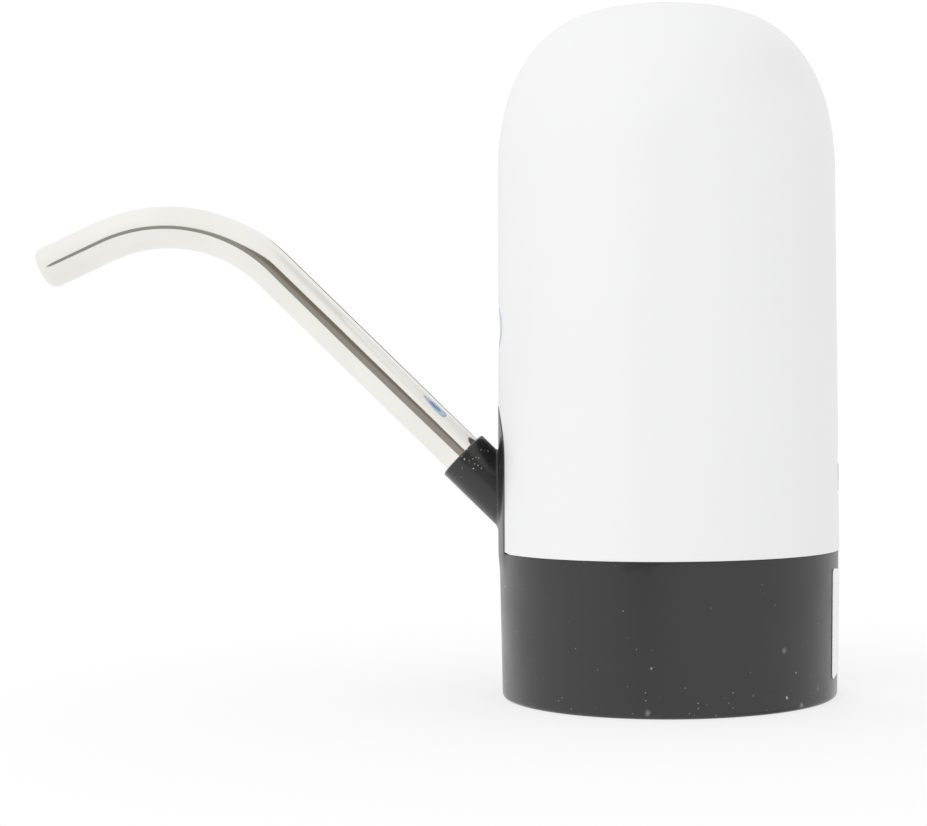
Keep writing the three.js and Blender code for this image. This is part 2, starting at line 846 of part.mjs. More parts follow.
// Steps of a barb along a signed length: each swells to the radius and tapers towards the tip.
function taperedSteps(radius, start, length, count) {
  const points = [];
  for (let i = 0; i < count; i += 1) {
    const low = start + (i / count) * length;
    const high = start + ((i + 1) / count) * length;
    points.push([radius - barbRidge, low], [radius, low], [radius - barbRidge, high]);
  }
  const same = (one, other) => one[0] === other[0] && one[1] === other[1];
  return points.filter((point, i) => i === 0 || !same(point, points[i - 1]));
}

add(pump, "inlet_nipple", inletNipple(), whiteNylon);

// O-ring under the nipple's flange
function nippleSeal() {
  const points = [];
  const half = nippleRingSection;
  for (let i = 0; i < wireSides; i += 1) {
    const angle = (i / wireSides) * Math.PI * 2;
    const height = deckTop - half / 4 + (half / 2) * Math.sin(angle);
    points.push([nippleRingRadius + half * Math.cos(angle), height]);
  }
  return turned(points, pumpSides);
}

add(pump, "nipple_seal", nippleSeal(), blackRubber);

// Screws of the deck

// A pan head screw about +Z, head down, whose head stands on z = 0.
function panScrew(radius, headRadius, headHeight, length, slot) {
  const body = turned([
    [0, 0],
    [headRadius, 0],
    [headRadius, headHeight],
    [radius, headHeight],
    [radius, headHeight + length - radius],
    [radius / 2, headHeight + length],
    [0, headHeight + length],
  ], screwSides);
  const arm = headRadius - slot;
  const cross = join(
    solid(block(-arm, arm, -slot / 2, slot / 2, -slot, slot)),
    solid(block(-slot / 2, slot / 2, -arm, arm, -slot, slot)),
  );
  return cut(solid(body), cross);
}

const deckScrew = (length) =>
  panScrew(screwRadius, screwHeadRadius, screwHeadHeight - seat / 2, length, screwSlot);
for (let i = 0; i < shellScrews; i += 1) {
  const [x, y] = shellScrewPlace(i);
  add(pump, `shell_screw_${i + 1}`, deckScrew(shellScrewLength), zinc).position.set(x, y, deckBottom);
}
deckScrewPlaces.forEach(([x, y], i) => {
  add(pump, `deck_screw_${i + 1}`, deckScrew(deckScrewLength), zinc).position.set(x, y, deckBottom);
});

// Spout. In the socket's own frame +Z points out of the mouth and +X up over the spout.
const socket = new THREE.Group();
socket.position.set(socketX, 0, socketHeight);
socket.rotation.y = -socketTilt;
pump.add(socket);

const spoutPoints = [
  new THREE.Vector3(0, 0, -spoutInsertion),
  new THREE.Vector3(0, 0, spoutVertex),
  new THREE.Vector3(-spoutEnd * Math.sin(spoutTurn), 0, spoutVertex + spoutEnd * Math.cos(spoutTurn)),
];
const spoutBore = spoutRadius - spoutWall;
const spoutTube = pipe(spoutPoints, spoutBend, spoutBendSteps, spoutRadius, spoutBore, pumpSides);
add(socket, "spout_tube", spoutTube, steel);

const sealFront = -(sealPocketDepth + seat);
const sealBack = sealFront - sealLength;
const sealInner = spoutRadius + running;
add(socket, "spout_seal", ring(sealInner, sealInner + sealWall, sealBack, sealFront), silicone);

// Elbow behind the seal: it takes the pushed-in spout and turns the flow to the back.
function outletElbow() {
  const noseFront = sealBack - seat;
  const flangeFront = -(bossDepth + seat);
  const flangeBack = flangeFront - elbowFlange;
  const boreEnd = -(spoutInsertion + spoutPushHome + seat / 2);
  const end = boreEnd - elbowEndWall;
  const body = join(
    solid(disc(noseRadius, flangeFront - elbowFlange / 2, noseFront)),
    solid(disc(elbowFlangeRadius, flangeBack, flangeFront)),
    solid(disc(elbowRadius, end, flangeBack + elbowFlange / 2)),
  );
  const level = new THREE.Matrix4().copy(socketMatrix).invert();
  const along = new THREE.Matrix4().makeRotationY(Math.PI / 2);
  const start = socketX + Math.sin(socketTilt) * -boreEnd - elbowEndWall;
  along.setPosition(start, 0, elbowBarbHeight);
  const total = -elbowBarbEnd - start;
  const stem = elbowBarbLength;
  const barb = turned([
    [0, 0],
    [outletBarbRadius, 0],
    [outletBarbRadius, total - stem],
    ...taperedSteps(outletBarbRadius, total - stem, stem, 2),
    [0, total],
  ], boreSides);
  const hole = disc(outletBarbBore, 0, total + overrun, boreSides);
  const place = (geometry) => solid(geometry.applyMatrix4(along).applyMatrix4(level));
  const bore = solid(disc(spoutRadius + running, boreEnd, noseFront + overrun));
  const face = -elbowBarbEnd - elbowBarbLength - seat;
  const beyond = block(face, 0, -bossRadius, bossRadius, deckTop, elbowBarbHeight + bossRadius);
  const trimmed = cut(body, solid(beyond.applyMatrix4(level)));
  return cut(join(trimmed, place(barb)), bore, place(hole));
}

add(socket, "outlet_elbow", outletElbow(), greyNylon);

// Hoses
const inletBore = inletBarbRadius + hoseFit;
const outletBore = outletBarbRadius + hoseFit;
const inletHose = ring(inletBore, inletHoseRadius, nippleFlangeTop + seat, pumpBottom - seat, boreSides);
add(pump, "inlet_hose", inletHose, silicone);
const outletHosePoints = [
  new THREE.Vector3(-elbowBarbEnd - elbowBarbLength, 0, elbowBarbHeight),
  new THREE.Vector3(outletHoseX, 0, elbowBarbHeight),
  new THREE.Vector3(outletHoseX, 0, pumpBottom - seat),
];
const outletHose = pipe(
  outletHosePoints,
  outletHoseBend,
  hoseBendSteps,
  outletHoseRadius,
  outletBore,
  boreSides,
);
add(pump, "outlet_hose", outletHose, silicone);

// Spring clip round a hose, centred on its own middle, open on one side.
function hoseClip(hoseRadius) {
  const inner = hoseRadius + clipFit;
  const band = solid(ring(inner, inner + clipWall, -clipHeight / 2, clipHeight / 2, boreSides));
  const reach = inner + clipWall + overrun;
  return cut(band, solid(block(0, reach, -clipSlot / 2, clipSlot / 2, -clipHeight, clipHeight)));
}

const clipHeights = [footTop + clipHeight / 2 + seat, shelfTop - shelfThickness - clipHeight];
clipHeights.forEach((height, i) => {
  add(pump, `hose_clip_${i + 1}`, hoseClip(inletHoseRadius), zinc).position.set(0, 0, height);
});

// Chassis

// Outline of the foot, from its front edge to behind the cell.
function footOutline() {
  const back = cellY + cellRadius;
  const length = back - footFrontY;
  return roundedRectangle(2 * footHalfWidth, length, footEdgeRadius, 0, footFrontY + length / 2);
}

function chassis() {
  const foot = solid(prism(footOutline(), footTop - footThickness, footTop));
  const pad = disc(footPadRadius, footBottom, footTop, boreSides);
  const pads = deckScrewPlaces.map(([x, y]) => solid(placed(pad, x, y, 0)));
  const webBack = webY + webThickness;
  const web = solid(block(-webHalfWidth, webHalfWidth, webY, webBack, footTop - footThickness, webTop));
  const [wingLeft, wingRight] = [pumpX - wingHalfWidth, pumpX + wingHalfWidth];
  const wing = solid(block(wingLeft, wingRight, webY, webBack, motorClampHeight - strapHeight, webTop));
  const shelfBottom = shelfTop - shelfThickness;
  const shelfFront = pumpY - shelfEdge;
  const shelf = solid(block(pumpX - shelfEdge, pumpX + pumpRadius, shelfFront, webY + webThickness / 2,
    shelfBottom, shelfTop));
  const gussetHeight = shelfThickness * 3;
  const gusset = new THREE.Shape([
    new THREE.Vector2(webY + webThickness / 2, shelfBottom - gussetHeight),
    new THREE.Vector2(webY + webThickness / 2, shelfBottom + shelfThickness / 2),
    new THREE.Vector2(shelfFront, shelfBottom + shelfThickness / 2),
    new THREE.Vector2(shelfFront, shelfBottom),
  ]);
  const gussetX = pumpX + pumpRadius - webThickness;
  const brace = solid(prismAlongX(gusset, gussetX, gussetX + webThickness));
  const outletHole = disc(outletHoseRadius + 2 * seat, footBottom + overrun, shelfTop + overrun, boreSides);
  const holes = [
    solid(disc(inletHoseRadius + 2 * seat, footBottom, shelfTop + overrun, boreSides)),
    solid(placed(outletHole, outletHoseX, 0, 0)),
  ];
  const elbowRoom = block(-bodyRadius, -elbowBarbEnd + overrun * 2, -bossRadius, bossRadius,
    footBottom, elbowBarbHeight + bossRadius);
  const hoseRoom = block(-bodyRadius, 0, -outletHoseRadius - seat, outletHoseRadius + seat,
    elbowBarbHeight - outletHoseRadius - seat, elbowBarbHeight + overrun);
  const pilots = deckScrewPlaces.map(([x, y]) =>
    solid(placed(disc(screwBore, footBottom - overrun, footTop - seat, screwSides), x, y, 0)),
  );
  const strapPilot = disc(boardScrewBore, -overrun * 2, webThickness + overrun * 2, screwSides);
  const strapPilots = [...motorEars, ...cellEars].map(([x, z]) =>
    solid(placed(strapPilot, x, webY, z, -Math.PI / 2)),
  );
  return cut(join(foot, ...pads, web, wing, shelf, brace), ...holes, solid(elbowRoom), solid(hoseRoom),
    ...pilots, ...strapPilots);
}

const motorEarX = motorRadius + seat + strapThickness + strapEar / 2;
const cellEarX = cellRadius + seat + strapThickness + strapEar / 2;
const motorEars = [-1, 1].map((side) => [pumpX + side * motorEarX, motorClampHeight]);
const cellEars = [-1, 1].map((side) => [side * cellEarX, cellStrapHeight]);
add(pump, "chassis_frame", chassis(), greyNylon);

// U-shaped strap over a round body that screws to the web. Side is -1 in front of the web, 1 behind it.
function strap(radius, centreY, side, earX) {
  const inner = radius + seat;
  const outer = inner + strapThickness;
  const webFace = side < 0 ? webY - seat : webY + webThickness + seat;
  const [low, high] = [-strapHeight / 2, strapHeight / 2];
  const reach = outer + overrun;
  const half = solid(ring(inner, outer, low, high)).intersect(
    solid(block(-reach, reach, side < 0 ? -reach : 0, side < 0 ? 0 : reach, low, high)),
  );
  const pieces = [half];
  for (const end of [-1, 1]) {
    const legs = [end * inner, end * outer].sort((a, b) => a - b);
    const foot = webFace - centreY;
    const legY = [foot, (side * strapThickness) / 2].sort((a, b) => a - b);
    pieces.push(solid(block(legs[0], legs[1], legY[0], legY[1], low, high)));
    const ears = [end * inner, end * (outer + strapEar)].sort((a, b) => a - b);
    const earY = [foot, foot + side * strapEarThickness].sort((a, b) => a - b);
    pieces.push(solid(block(ears[0], ears[1], earY[0], earY[1], low, high)));
  }
  const hole = disc(boardScrewBore, -overrun * 3, overrun * 3, screwSides);
  const holes = [-1, 1].map((end) => solid(placed(hole, end * earX, webFace - centreY, 0, -Math.PI / 2)));
  return cut(join(...pieces), ...holes);
}

const motorStrap = strap(motorRadius, pumpY, -1, motorEarX);
add(pump, "motor_clamp", motorStrap, greyNylon).position.set(pumpX, pumpY, motorClampHeight);
const cellStrap = strap(cellRadius, cellY, 1, cellEarX);
add(pump, "battery_strap", cellStrap, greyNylon).position.set(0, cellY, cellStrapHeight);

const smallScrew = () =>
  panScrew(boardScrewRadius, boardScrewHeadRadius, boardScrewHeadHeight, strapScrewLength, screwSlot);
motorEars.forEach(([x, z], i) => {
  const mesh = add(pump, `clamp_screw_${i + 1}`, smallScrew(), zinc);
  mesh.position.set(x, webY - 2 * seat - strapEarThickness - boardScrewHeadHeight, z);
  mesh.rotation.x = -Math.PI / 2;
});
cellEars.forEach(([x, z], i) => {
  const mesh = add(pump, `strap_screw_${i + 1}`, smallScrew(), zinc);
  mesh.position.set(x, webY + webThickness + 2 * seat + strapEarThickness + boardScrewHeadHeight, z);
  mesh.rotation.x = Math.PI / 2;
});

// Pump head and motor, in a frame on the pump's own axis
const head = new THREE.Group();
head.position.set(pumpX, pumpY, 0);
pump.add(head);

function pumpScrewPlace(i) {
  const angle = pumpScrewTurn + (i / 3) * Math.PI * 2;
  return [pumpScrewCircle * Math.cos(angle), pumpScrewCircle * Math.sin(angle)];
}

const pumpScrewBore = pumpScrewRadius + screwFit;
const pumpScrewHoles = (bottom, top) =>
  [0, 1, 2].map((i) => {
    const [x, y] = pumpScrewPlace(i);
    return solid(placed(disc(pumpScrewBore, bottom - overrun, top + overrun, screwSides), x, y, 0));
  });

// Cover with both ports on its underside
function pumpCover() {
  const body = solid(disc(pumpRadius, pumpBottom, coverTop));
  const ports = [
    [-pumpX, -pumpY, inletBarbRadius, inletBarbBore],
    [outletHoseX - pumpX, -pumpY, outletBarbRadius, outletBarbBore],
  ];
  const tip = pumpBottom - portLength;
  const root = pumpBottom + overrun;
  const barbs = ports.map(([x, y, radius]) => {
    const steps = taperedSteps(radius, pumpBottom, -portLength, nippleBarbSteps);
    const barb = turned([[0, root], [radius - barbRidge, root], ...steps, [0, tip]], boreSides);
    return solid(placed(barb, x, y, 0));
  });
  const boreTop = coverTop - coverFloor / 2;
  const bores = ports.map(([x, y, , bore]) =>
    solid(placed(disc(bore, tip - overrun, boreTop, boreSides), x, y, 0)),
  );
  const floor = pumpBottom + coverFloor;
  const inletRoom = disc(inletPocketRadius, floor, coverTop + overrun, boreSides);
  const inletPocket = placed(inletRoom, -pumpX, -pumpY, 0);
  const outletPocket = disc(outletPocketRadius, floor, coverTop + overrun, boreSides);
  const [ox, oy] = [outletHoseX - pumpX, -pumpY];
  const slantLength = Math.hypot(ox, oy);
  const slant = block(0, slantLength, -outletBarbBore, outletBarbBore, floor, floor + 2 * outletBarbBore);
  const channel = placed(slant, 0, 0, 0, 0, 0, Math.atan2(oy, ox));
  const recessTop = pumpBottom + pumpScrewHeadHeight + seat;
  const recess = disc(pumpScrewHead + screwFit, pumpBottom - overrun, recessTop, screwSides);
  const heads = [0, 1, 2].map((i) => {
    const [x, y] = pumpScrewPlace(i);
    return solid(placed(recess, x, y, 0));
  });
  const pockets = [inletPocket, outletPocket, channel].map(solid);
  return cut(join(body, ...barbs), ...bores, ...pockets, ...heads, ...pumpScrewHoles(pumpBottom, coverTop));
}

add(head, "pump_cover", pumpCover(), whiteNylon);

const chamberPlace = (i) => {
  const angle = chamberTurn + Math.PI / 6 + (i / 3) * Math.PI * 2;
  return [chamberCircle * Math.cos(angle), chamberCircle * Math.sin(angle)];
};

function valvePlate() {
  const cuts = [0, 1, 2].map((i) => {
    const [x, y] = chamberPlace(i);
    const chamber = disc(chamberRadius, valveTop - chamberDepth, valveTop + overrun, boreSides);
    return solid(placed(chamber, x, y, 0));
  });
  for (let i = 0; i < 3; i += 1) {
    const angle = (i / 3) * Math.PI * 2 + chamberTurn;
    const [x, y] = [valveHoleCircle * Math.cos(angle), valveHoleCircle * Math.sin(angle)];
    const hole = disc(valveHoleRadius, valveBottom - overrun, valveTop + overrun, screwSides);
    cuts.push(solid(placed(hole, x, y, 0)));
  }
  cuts.push(solid(disc(valveStemRadius + running, valveBottom - overrun, valveTop + overrun, screwSides)));
  const body = solid(disc(pumpRadius, valveBottom, valveTop));
  return cut(body, ...cuts, ...pumpScrewHoles(valveBottom, valveTop));
}

add(head, "valve_plate", valvePlate(), whiteNylon);

// Umbrella valve under the valve plate
const outletValve = turned([
  [0, valveBottom - running - valveCapHeight],
  [valveCapRadius, valveBottom - running - valveCapHeight / 2],
  [valveCapRadius, valveBottom - running],
  [valveStemRadius, valveBottom - running],
  [valveStemRadius, valveTop - seat],
  [0, valveTop - seat],
], boreSides);
add(head, "outlet_valve", outletValve, silicone);

function diaphragm() {
  const cups = [0, 1, 2].map((i) => {
    const [x, y] = chamberPlace(i);
    const top = diaphragmTop + diaphragmCupHeight;
    return solid(placed(disc(diaphragmCupRadius, diaphragmBottom, top, boreSides), x, y, 0));
  });
  const body = solid(disc(pumpRadius, diaphragmBottom, diaphragmTop));
  return cut(join(body, ...cups), ...pumpScrewHoles(diaphragmBottom, diaphragmTop));
}

add(head, "diaphragm", diaphragm(), blackRubber);

function pumpHousing() {
  const body = solid(disc(pumpRadius, housingBottom, housingTop));
  const inside = disc(pumpRadius - housingWall, housingBottom - overrun, housingTop - housingRoof);
  const shaft = disc(shaftRadius + running * 3, housingBottom, housingTop + overrun, boreSides);
  const [low, high] = [housingBottom, pumpBottom + pumpScrewLength + pumpScrewHeadHeight];
  return cut(body, solid(inside), solid(shaft), ...pumpScrewHoles(low, high));
}

add(head, "pump_housing", pumpHousing(), whiteNylon);

// Three-armed wobble plate that works the diaphragm's cups
const wobbleBottom = diaphragmTop + diaphragmCupHeight + seat;
const wobbleTop = wobbleBottom + wobbleHeight;

function wobblePlate() {
  const hub = solid(disc(wobbleHub, wobbleBottom, wobbleTop, boreSides));
  const arms = [0, 1, 2].map((i) => {
    const angle = chamberTurn + Math.PI / 6 + (i / 3) * Math.PI * 2;
    const arm = block(0, wobbleRadius, -wobbleArmWidth / 2, wobbleArmWidth / 2, wobbleBottom, wobbleTop);
    return solid(placed(arm, 0, 0, 0, 0, 0, angle));
  });
  const bore = disc(wobbleBore, wobbleBottom - overrun, wobbleTop + overrun, boreSides);
  return cut(join(hub, ...arms), solid(bore));
}

add(head, "wobble_plate", wobblePlate(), greyNylon);

const pumpScrewShank = pumpScrewLength - seat;
for (let i = 0; i < 3; i += 1) {
  const [x, y] = pumpScrewPlace(i);
  const made = panScrew(pumpScrewRadius, pumpScrewHead, pumpScrewHeadHeight, pumpScrewShank, screwSlot);
  add(head, `pump_screw_${i + 1}`, made, zinc).position.set(x, y, pumpBottom);
}

// Motor
function motorCan() {
  const outside = disc(motorRadius, motorBottom, motorTop);
  const inside = disc(motorRadius - motorWall, motorBottom + motorWall, motorTop + overrun);
  const hole = disc(shaftRadius + running, motorBottom - overrun, motorBottom + overrun * 2, boreSides);
  return cut(solid(outside), solid(inside), solid(hole));
}

add(head, "motor_can", motorCan(), zinc);

const magnetBottom = motorBottom + magnetLift;
[-1, 1].forEach((side, i) => {
  const outer = motorRadius - motorWall - seat;
  const made = solid(ring(outer - magnetThickness, outer, magnetBottom, magnetBottom + magnetLength));
  const top = magnetBottom + magnetLength + overrun;
  const [near, far] = [magnetGapWidth / 2, outer].map((reach) => side * reach).sort((a, b) => a - b);
  const half = block(near, far, -outer, outer, magnetBottom - overrun, top);
  add(head, `motor_magnet_${i + 1}`, made.intersect(solid(half)), magnetGrey);
});

function motorEndCap() {
  const [low, middle] = [motorTop - endCapPlug, motorTop + endCapFlange / 2];
  const plug = disc(motorRadius - motorWall - seat, low, middle);
  const flange = disc(motorRadius, motorTop + seat, motorTop + seat + endCapFlange);
  const bore = disc(shaftRadius + running, low - overrun, middle, boreSides);
  return cut(join(solid(plug), solid(flange)), solid(bore));
}

add(head, "motor_end_cap", motorEndCap(), whiteNylon);

const eccentricTop = housingTop - housingRoof - seat;
const eccentricBottom = eccentricTop - eccentricHeight;

function rotor() {
  const bottom = motorBottom + armatureLift;
  const top = bottom + armatureLength;
  const slots = [];
  for (let i = 0; i < armatureSlots; i += 1) {
    const slot = block(armatureRadius - armatureSlotDepth, armatureRadius + overrun, -armatureSlotWidth / 2,
      armatureSlotWidth / 2, bottom - overrun, top + overrun);
    slots.push(solid(placed(slot, 0, 0, 0, 0, 0, (i / armatureSlots) * Math.PI * 2)));
  }
  const core = cut(solid(disc(armatureRadius, bottom, top)), ...slots);
  const commutator = solid(disc(commutatorRadius, top - overrun, top + commutatorLength, boreSides));
  const shaftTop = motorTop - seat / 2;
  const shaft = solid(disc(shaftRadius, eccentricTop - eccentricHeight / 2, shaftTop, boreSides));
  return join(core, commutator, shaft);
}

add(head, "rotor", rotor(), armatureBrown);

function eccentric() {
  const body = solid(disc(eccentricRadius, eccentricBottom, eccentricTop, boreSides));
  const pinBottom = eccentricBottom - eccentricPinLength;
  const pin = disc(eccentricPin, pinBottom, eccentricBottom + overrun, screwSides);
  const boreBottom = eccentricTop - eccentricHeight / 2 - seat;
  const bore = disc(shaftRadius + hoseFit, boreBottom, eccentricTop + overrun, boreSides);
  return cut(join(body, solid(placed(pin, eccentricOffset, 0, 0))), solid(bore));
}

add(head, "eccentric", eccentric(), brass);

// Battery cell
const cell = turned([
  [0, 0],
  [cellRadius, 0],
  [cellRadius, cellLength - cellNubHeight],
  [cellNubRadius, cellLength - cellNubHeight],
  [cellNubRadius, cellLength],
  [0, cellLength],
], pumpSides);
add(pump, "battery_cell", cell, cellWrap).position.set(0, cellY, cellBottom);

// Power button

function powerButton() {
  const outerAt = (height) => shellRadius(height) - buttonInset;
  const low = buttonHeight - buttonTall;
  const high = buttonHeight + buttonTall;
  const flangeOuter = innerWall(high) - seat;
  const flangeInner = flangeOuter - buttonFlangeThickness;
  const face = solid(
    turned([[flangeInner, low], [outerAt(low), low], [outerAt(high), high], [flangeInner, high]]),
  ).intersect(solid(prismAlongX(ovalOutline(0), -bodyRadius - overrun, -lipInner / 2)));
  const flange = solid(ring(flangeInner, flangeOuter, low, high, bodySides)).intersect(
    solid(prismAlongX(ovalOutline(buttonFlangeExtra), -bodyRadius, -lipInner / 2)),
  );
  const root = flangeInner + buttonFlangeThickness / 2;
  const stem = disc(buttonStemRadius, 0, buttonStemLength + buttonFlangeThickness / 2, boreSides);
  return join(face, flange, solid(placed(stem, -root, 0, buttonHeight, 0, Math.PI / 2)));
}

const buttonFlangeFace = innerWall(buttonHeight + buttonTall) - seat;
const buttonStemTip = buttonFlangeFace - buttonFlangeThickness - buttonStemLength;
add(pump, "power_button", powerButton(), paleBlue);

// Button board with its switch
const buttonBoardInner = buttonBoardX + boardThickness;
function buttonBoard() {
  const [wide, tall] = [2 * buttonBoardHalfWidth, 2 * buttonBoardHalfHeight];
  const outline = roundedRectangle(wide, tall, labelCorner, 0, buttonHeight);
  const body = solid(prismAlongX(outline, buttonBoardX, buttonBoardInner));
  const holes = [-1, 1].map((side) =>
    solid(placed(disc(boardScrewBore, -overrun, boardThickness + overrun, screwSides), buttonBoardX, 0,
      buttonHeight + side * buttonPostRise, 0, Math.PI / 2)),
  );
  return cut(body, ...holes);
}

add(pump, "button_board", buttonBoard(), boardGreen);

const switchFront = buttonBoardX - seat - switchDepth;
const plungerTip = -(buttonStemTip - seat);
function tactSwitch() {
  const half = switchSize / 2;
  const [low, high] = [buttonHeight - half, buttonHeight + half];
  const body = block(switchFront, buttonBoardX - seat, -half, half, low, high);
  const well = disc(plungerRadius + running, -overrun, switchDepth - seat, boreSides);
  return cut(solid(body), solid(placed(well, switchFront, 0, buttonHeight, 0, Math.PI / 2)));
}

add(pump, "tact_switch", tactSwitch(), blackPlastic);
const plungerLength = switchFront + switchDepth - 2 * seat - buttonTravel - plungerTip;
const plunger = add(pump, "switch_plunger", disc(plungerRadius, 0, plungerLength, boreSides), whiteNylon);
plunger.position.set(plungerTip, 0, buttonHeight);
plunger.rotation.y = Math.PI / 2;

const boardScrew = () =>
  panScrew(boardScrewRadius, boardScrewHeadRadius, boardScrewHeadHeight, boardScrewLength, screwSlot);
[-1, 1].forEach((side, i) => {
  const mesh = add(pump, `button_board_screw_${i + 1}`, boardScrew(), zinc);
  const height = buttonHeight + side * buttonPostRise;
  mesh.position.set(buttonBoardInner + seat + boardScrewHeadHeight, 0, height);
  mesh.rotation.y = -Math.PI / 2;
});

// Main board with the charging socket
function mainBoard() {
  const tall = mainBoardTop - mainBoardBottom;
  const middle = mainBoardBottom + tall / 2;
  const outline = roundedRectangle(2 * mainBoardHalfWidth, tall, labelCorner, 0, middle);
  const body = solid(prismAlongX(outline, mainBoardX, mainBoardOuter));
  const holes = [-1, 1].map((side) =>
    solid(placed(disc(boardScrewBore, -overrun, boardThickness + overrun, screwSides), mainBoardX,
      side * mainPostY, mainPostHeight, 0, Math.PI / 2)),
  );
  return cut(body, ...holes);
}

add(pump, "main_board", mainBoard(), boardGreen);
[-1, 1].forEach((side, i) => {
  const mesh = add(pump, `board_screw_${i + 1}`, boardScrew(), zinc);
  mesh.position.set(mainBoardX - seat - boardScrewHeadHeight, side * mainPostY, mainPostHeight);
  mesh.rotation.y = Math.PI / 2;
});

const usbFront = innerWall(usbHeight) - seat;
function usbReceptacle() {
  const back = mainBoardOuter + seat;
  const outline = (inset) =>
    roundedRectangle(usbWidth - 2 * inset, usbTall - 2 * inset, usbTall / 2 - inset, 0, usbHeight);
  const shellSolid = solid(prismAlongX(outline(0), back, usbFront));
  const hollow = solid(prismAlongX(outline(usbShell), back + overrun, usbFront + overrun));
  const half = usbWidth / 2 - usbTall / 2;
  const [low, high] = [usbHeight - usbTongue / 2, usbHeight + usbTongue / 2];
  const tab = block(back, usbFront - overrun, -half, half, low, high);
  return join(cut(shellSolid, hollow), solid(tab));
}

add(pump, "usb_receptacle", usbReceptacle(), steel);

// Rubber cover of the charging socket, hinged along its lower edge
function usbCover() {
  const low = usbHeight - coverTall;
  const high = usbHeight + coverTall;
  const band = turned([
    [shellRadius(low) - coverThickness, low],
    [shellRadius(low) + coverLift, low],
    [shellRadius(high) + coverLift, high],
    [shellRadius(high) - coverThickness, high],
  ]);
  const outline = roundedRectangle(coverWidth, coverTall, labelCorner, 0, usbHeight);
  return solid(band).intersect(solid(prismAlongX(outline, 0, bodyRadius + overrun)));
}

add(pump, "usb_cover", usbCover(), silicone);

const pipeBack = mainBoardOuter + seat;
const pipeLength = shellRadius(lightHeight) - pipeBack;
const lightPipe = join(
  solid(disc(lightRadius, 0, pipeLength, boreSides)),
  solid(disc(lightHead, 0, innerWall(lightHeight) - seat * 2 - pipeBack, boreSides)),
);
const light = add(pump, "charge_light_pipe", lightPipe, clearPlastic);
light.position.set(pipeBack, 0, lightHeight);
light.rotation.y = Math.PI / 2;

// Leads, from terminals over the top of the motor to the main board
function lead(name, points, material) {
  const route = new PipeRoute(points, leadBend, leadSteps);
  add(pump, name, bar(route, leadRadius, wireSides), material);
}

const boardFace = mainBoardX - seat;
[-1, 1].forEach((side) => {
  const y = pumpY + (side * leadSpacing) / 2;
  const top = leadTop + (side + 1) * leadSpacing / 2;
  const back = leadBack - (side + 1) * leadSpacing / 4;
  const low = boardLeadHeight - (side + 1) * leadSpacing;
  lead(side < 0 ? "motor_lead_black" : "motor_lead_red", [
    new THREE.Vector3(pumpX + side * leadSpacing, y, motorTerminal),
    new THREE.Vector3(pumpX + side * leadSpacing, y, top),
    new THREE.Vector3(back, y, top),
    new THREE.Vector3(back, y, low),
    new THREE.Vector3(boardFace, y, low),
  ], side < 0 ? blackWire : redWire);
});
[-1, 1].forEach((side) => {
  const x = side * cellNubRadius / 2;
  const y = side < 0 ? cellY - cellRadius / 2 : cellY;
  const start = side < 0 ? cellTop - cellNubHeight : cellTop;
  const top = leadTop + (side + 1) * leadSpacing / 2;
  const low = boardLeadHeight - (side + 1) * leadSpacing;
  const end = mainBoardHalfWidth - leadSpacing - (side < 0 ? leadSpacing : 0);
  lead(side < 0 ? "battery_lead_black" : "battery_lead_red", [
    new THREE.Vector3(x, y, start),
    new THREE.Vector3(x, y, top),
    new THREE.Vector3(leadBack, end, top),
    new THREE.Vector3(leadBack, end, low),
    new THREE.Vector3(boardFace, end, low),
  ], side < 0 ? blackWire : redWire);
});

export default pump;
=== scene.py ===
"""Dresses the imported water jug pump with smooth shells, real finishes and a small white studio.

Sizes of the pieces are in millimetres and are turned into metres when a mesh is made. +Z is up, the
spout points along -X and the charging socket is at +X.
"""

from __future__ import annotations

import json
import logging
import math
from collections.abc import Callable, Sequence
from dataclasses import dataclass, field
from enum import Enum

import bmesh
import bpy
import numpy as np
from mathutils import Matrix, Vector, geometry

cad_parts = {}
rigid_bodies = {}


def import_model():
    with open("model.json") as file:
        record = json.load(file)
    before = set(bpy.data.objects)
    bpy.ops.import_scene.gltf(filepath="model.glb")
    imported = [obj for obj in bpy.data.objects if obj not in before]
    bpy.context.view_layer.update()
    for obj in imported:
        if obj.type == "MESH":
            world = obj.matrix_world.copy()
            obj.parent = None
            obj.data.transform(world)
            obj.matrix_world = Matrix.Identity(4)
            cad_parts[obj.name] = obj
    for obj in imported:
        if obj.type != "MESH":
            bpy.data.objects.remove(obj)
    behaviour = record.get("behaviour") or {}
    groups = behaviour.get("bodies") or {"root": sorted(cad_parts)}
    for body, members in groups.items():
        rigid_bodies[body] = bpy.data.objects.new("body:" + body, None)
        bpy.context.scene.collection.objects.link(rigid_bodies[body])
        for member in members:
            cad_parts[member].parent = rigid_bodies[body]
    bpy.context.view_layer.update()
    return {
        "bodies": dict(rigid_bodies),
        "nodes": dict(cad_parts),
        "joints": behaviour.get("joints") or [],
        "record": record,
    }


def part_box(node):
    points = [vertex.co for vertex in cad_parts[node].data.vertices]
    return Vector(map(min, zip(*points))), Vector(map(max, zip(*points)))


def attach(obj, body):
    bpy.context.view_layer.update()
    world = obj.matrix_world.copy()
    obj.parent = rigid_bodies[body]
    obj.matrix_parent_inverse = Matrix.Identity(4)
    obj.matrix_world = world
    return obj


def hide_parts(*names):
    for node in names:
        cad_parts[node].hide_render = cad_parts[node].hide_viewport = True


LOG = logging.getLogger("water_pump")
MM = 0.001
WELD = 0.002
SHARP_DEGREES = 38.0
FULL_TURN = 2 * math.pi
QUARTER_TURN = math.pi / 2

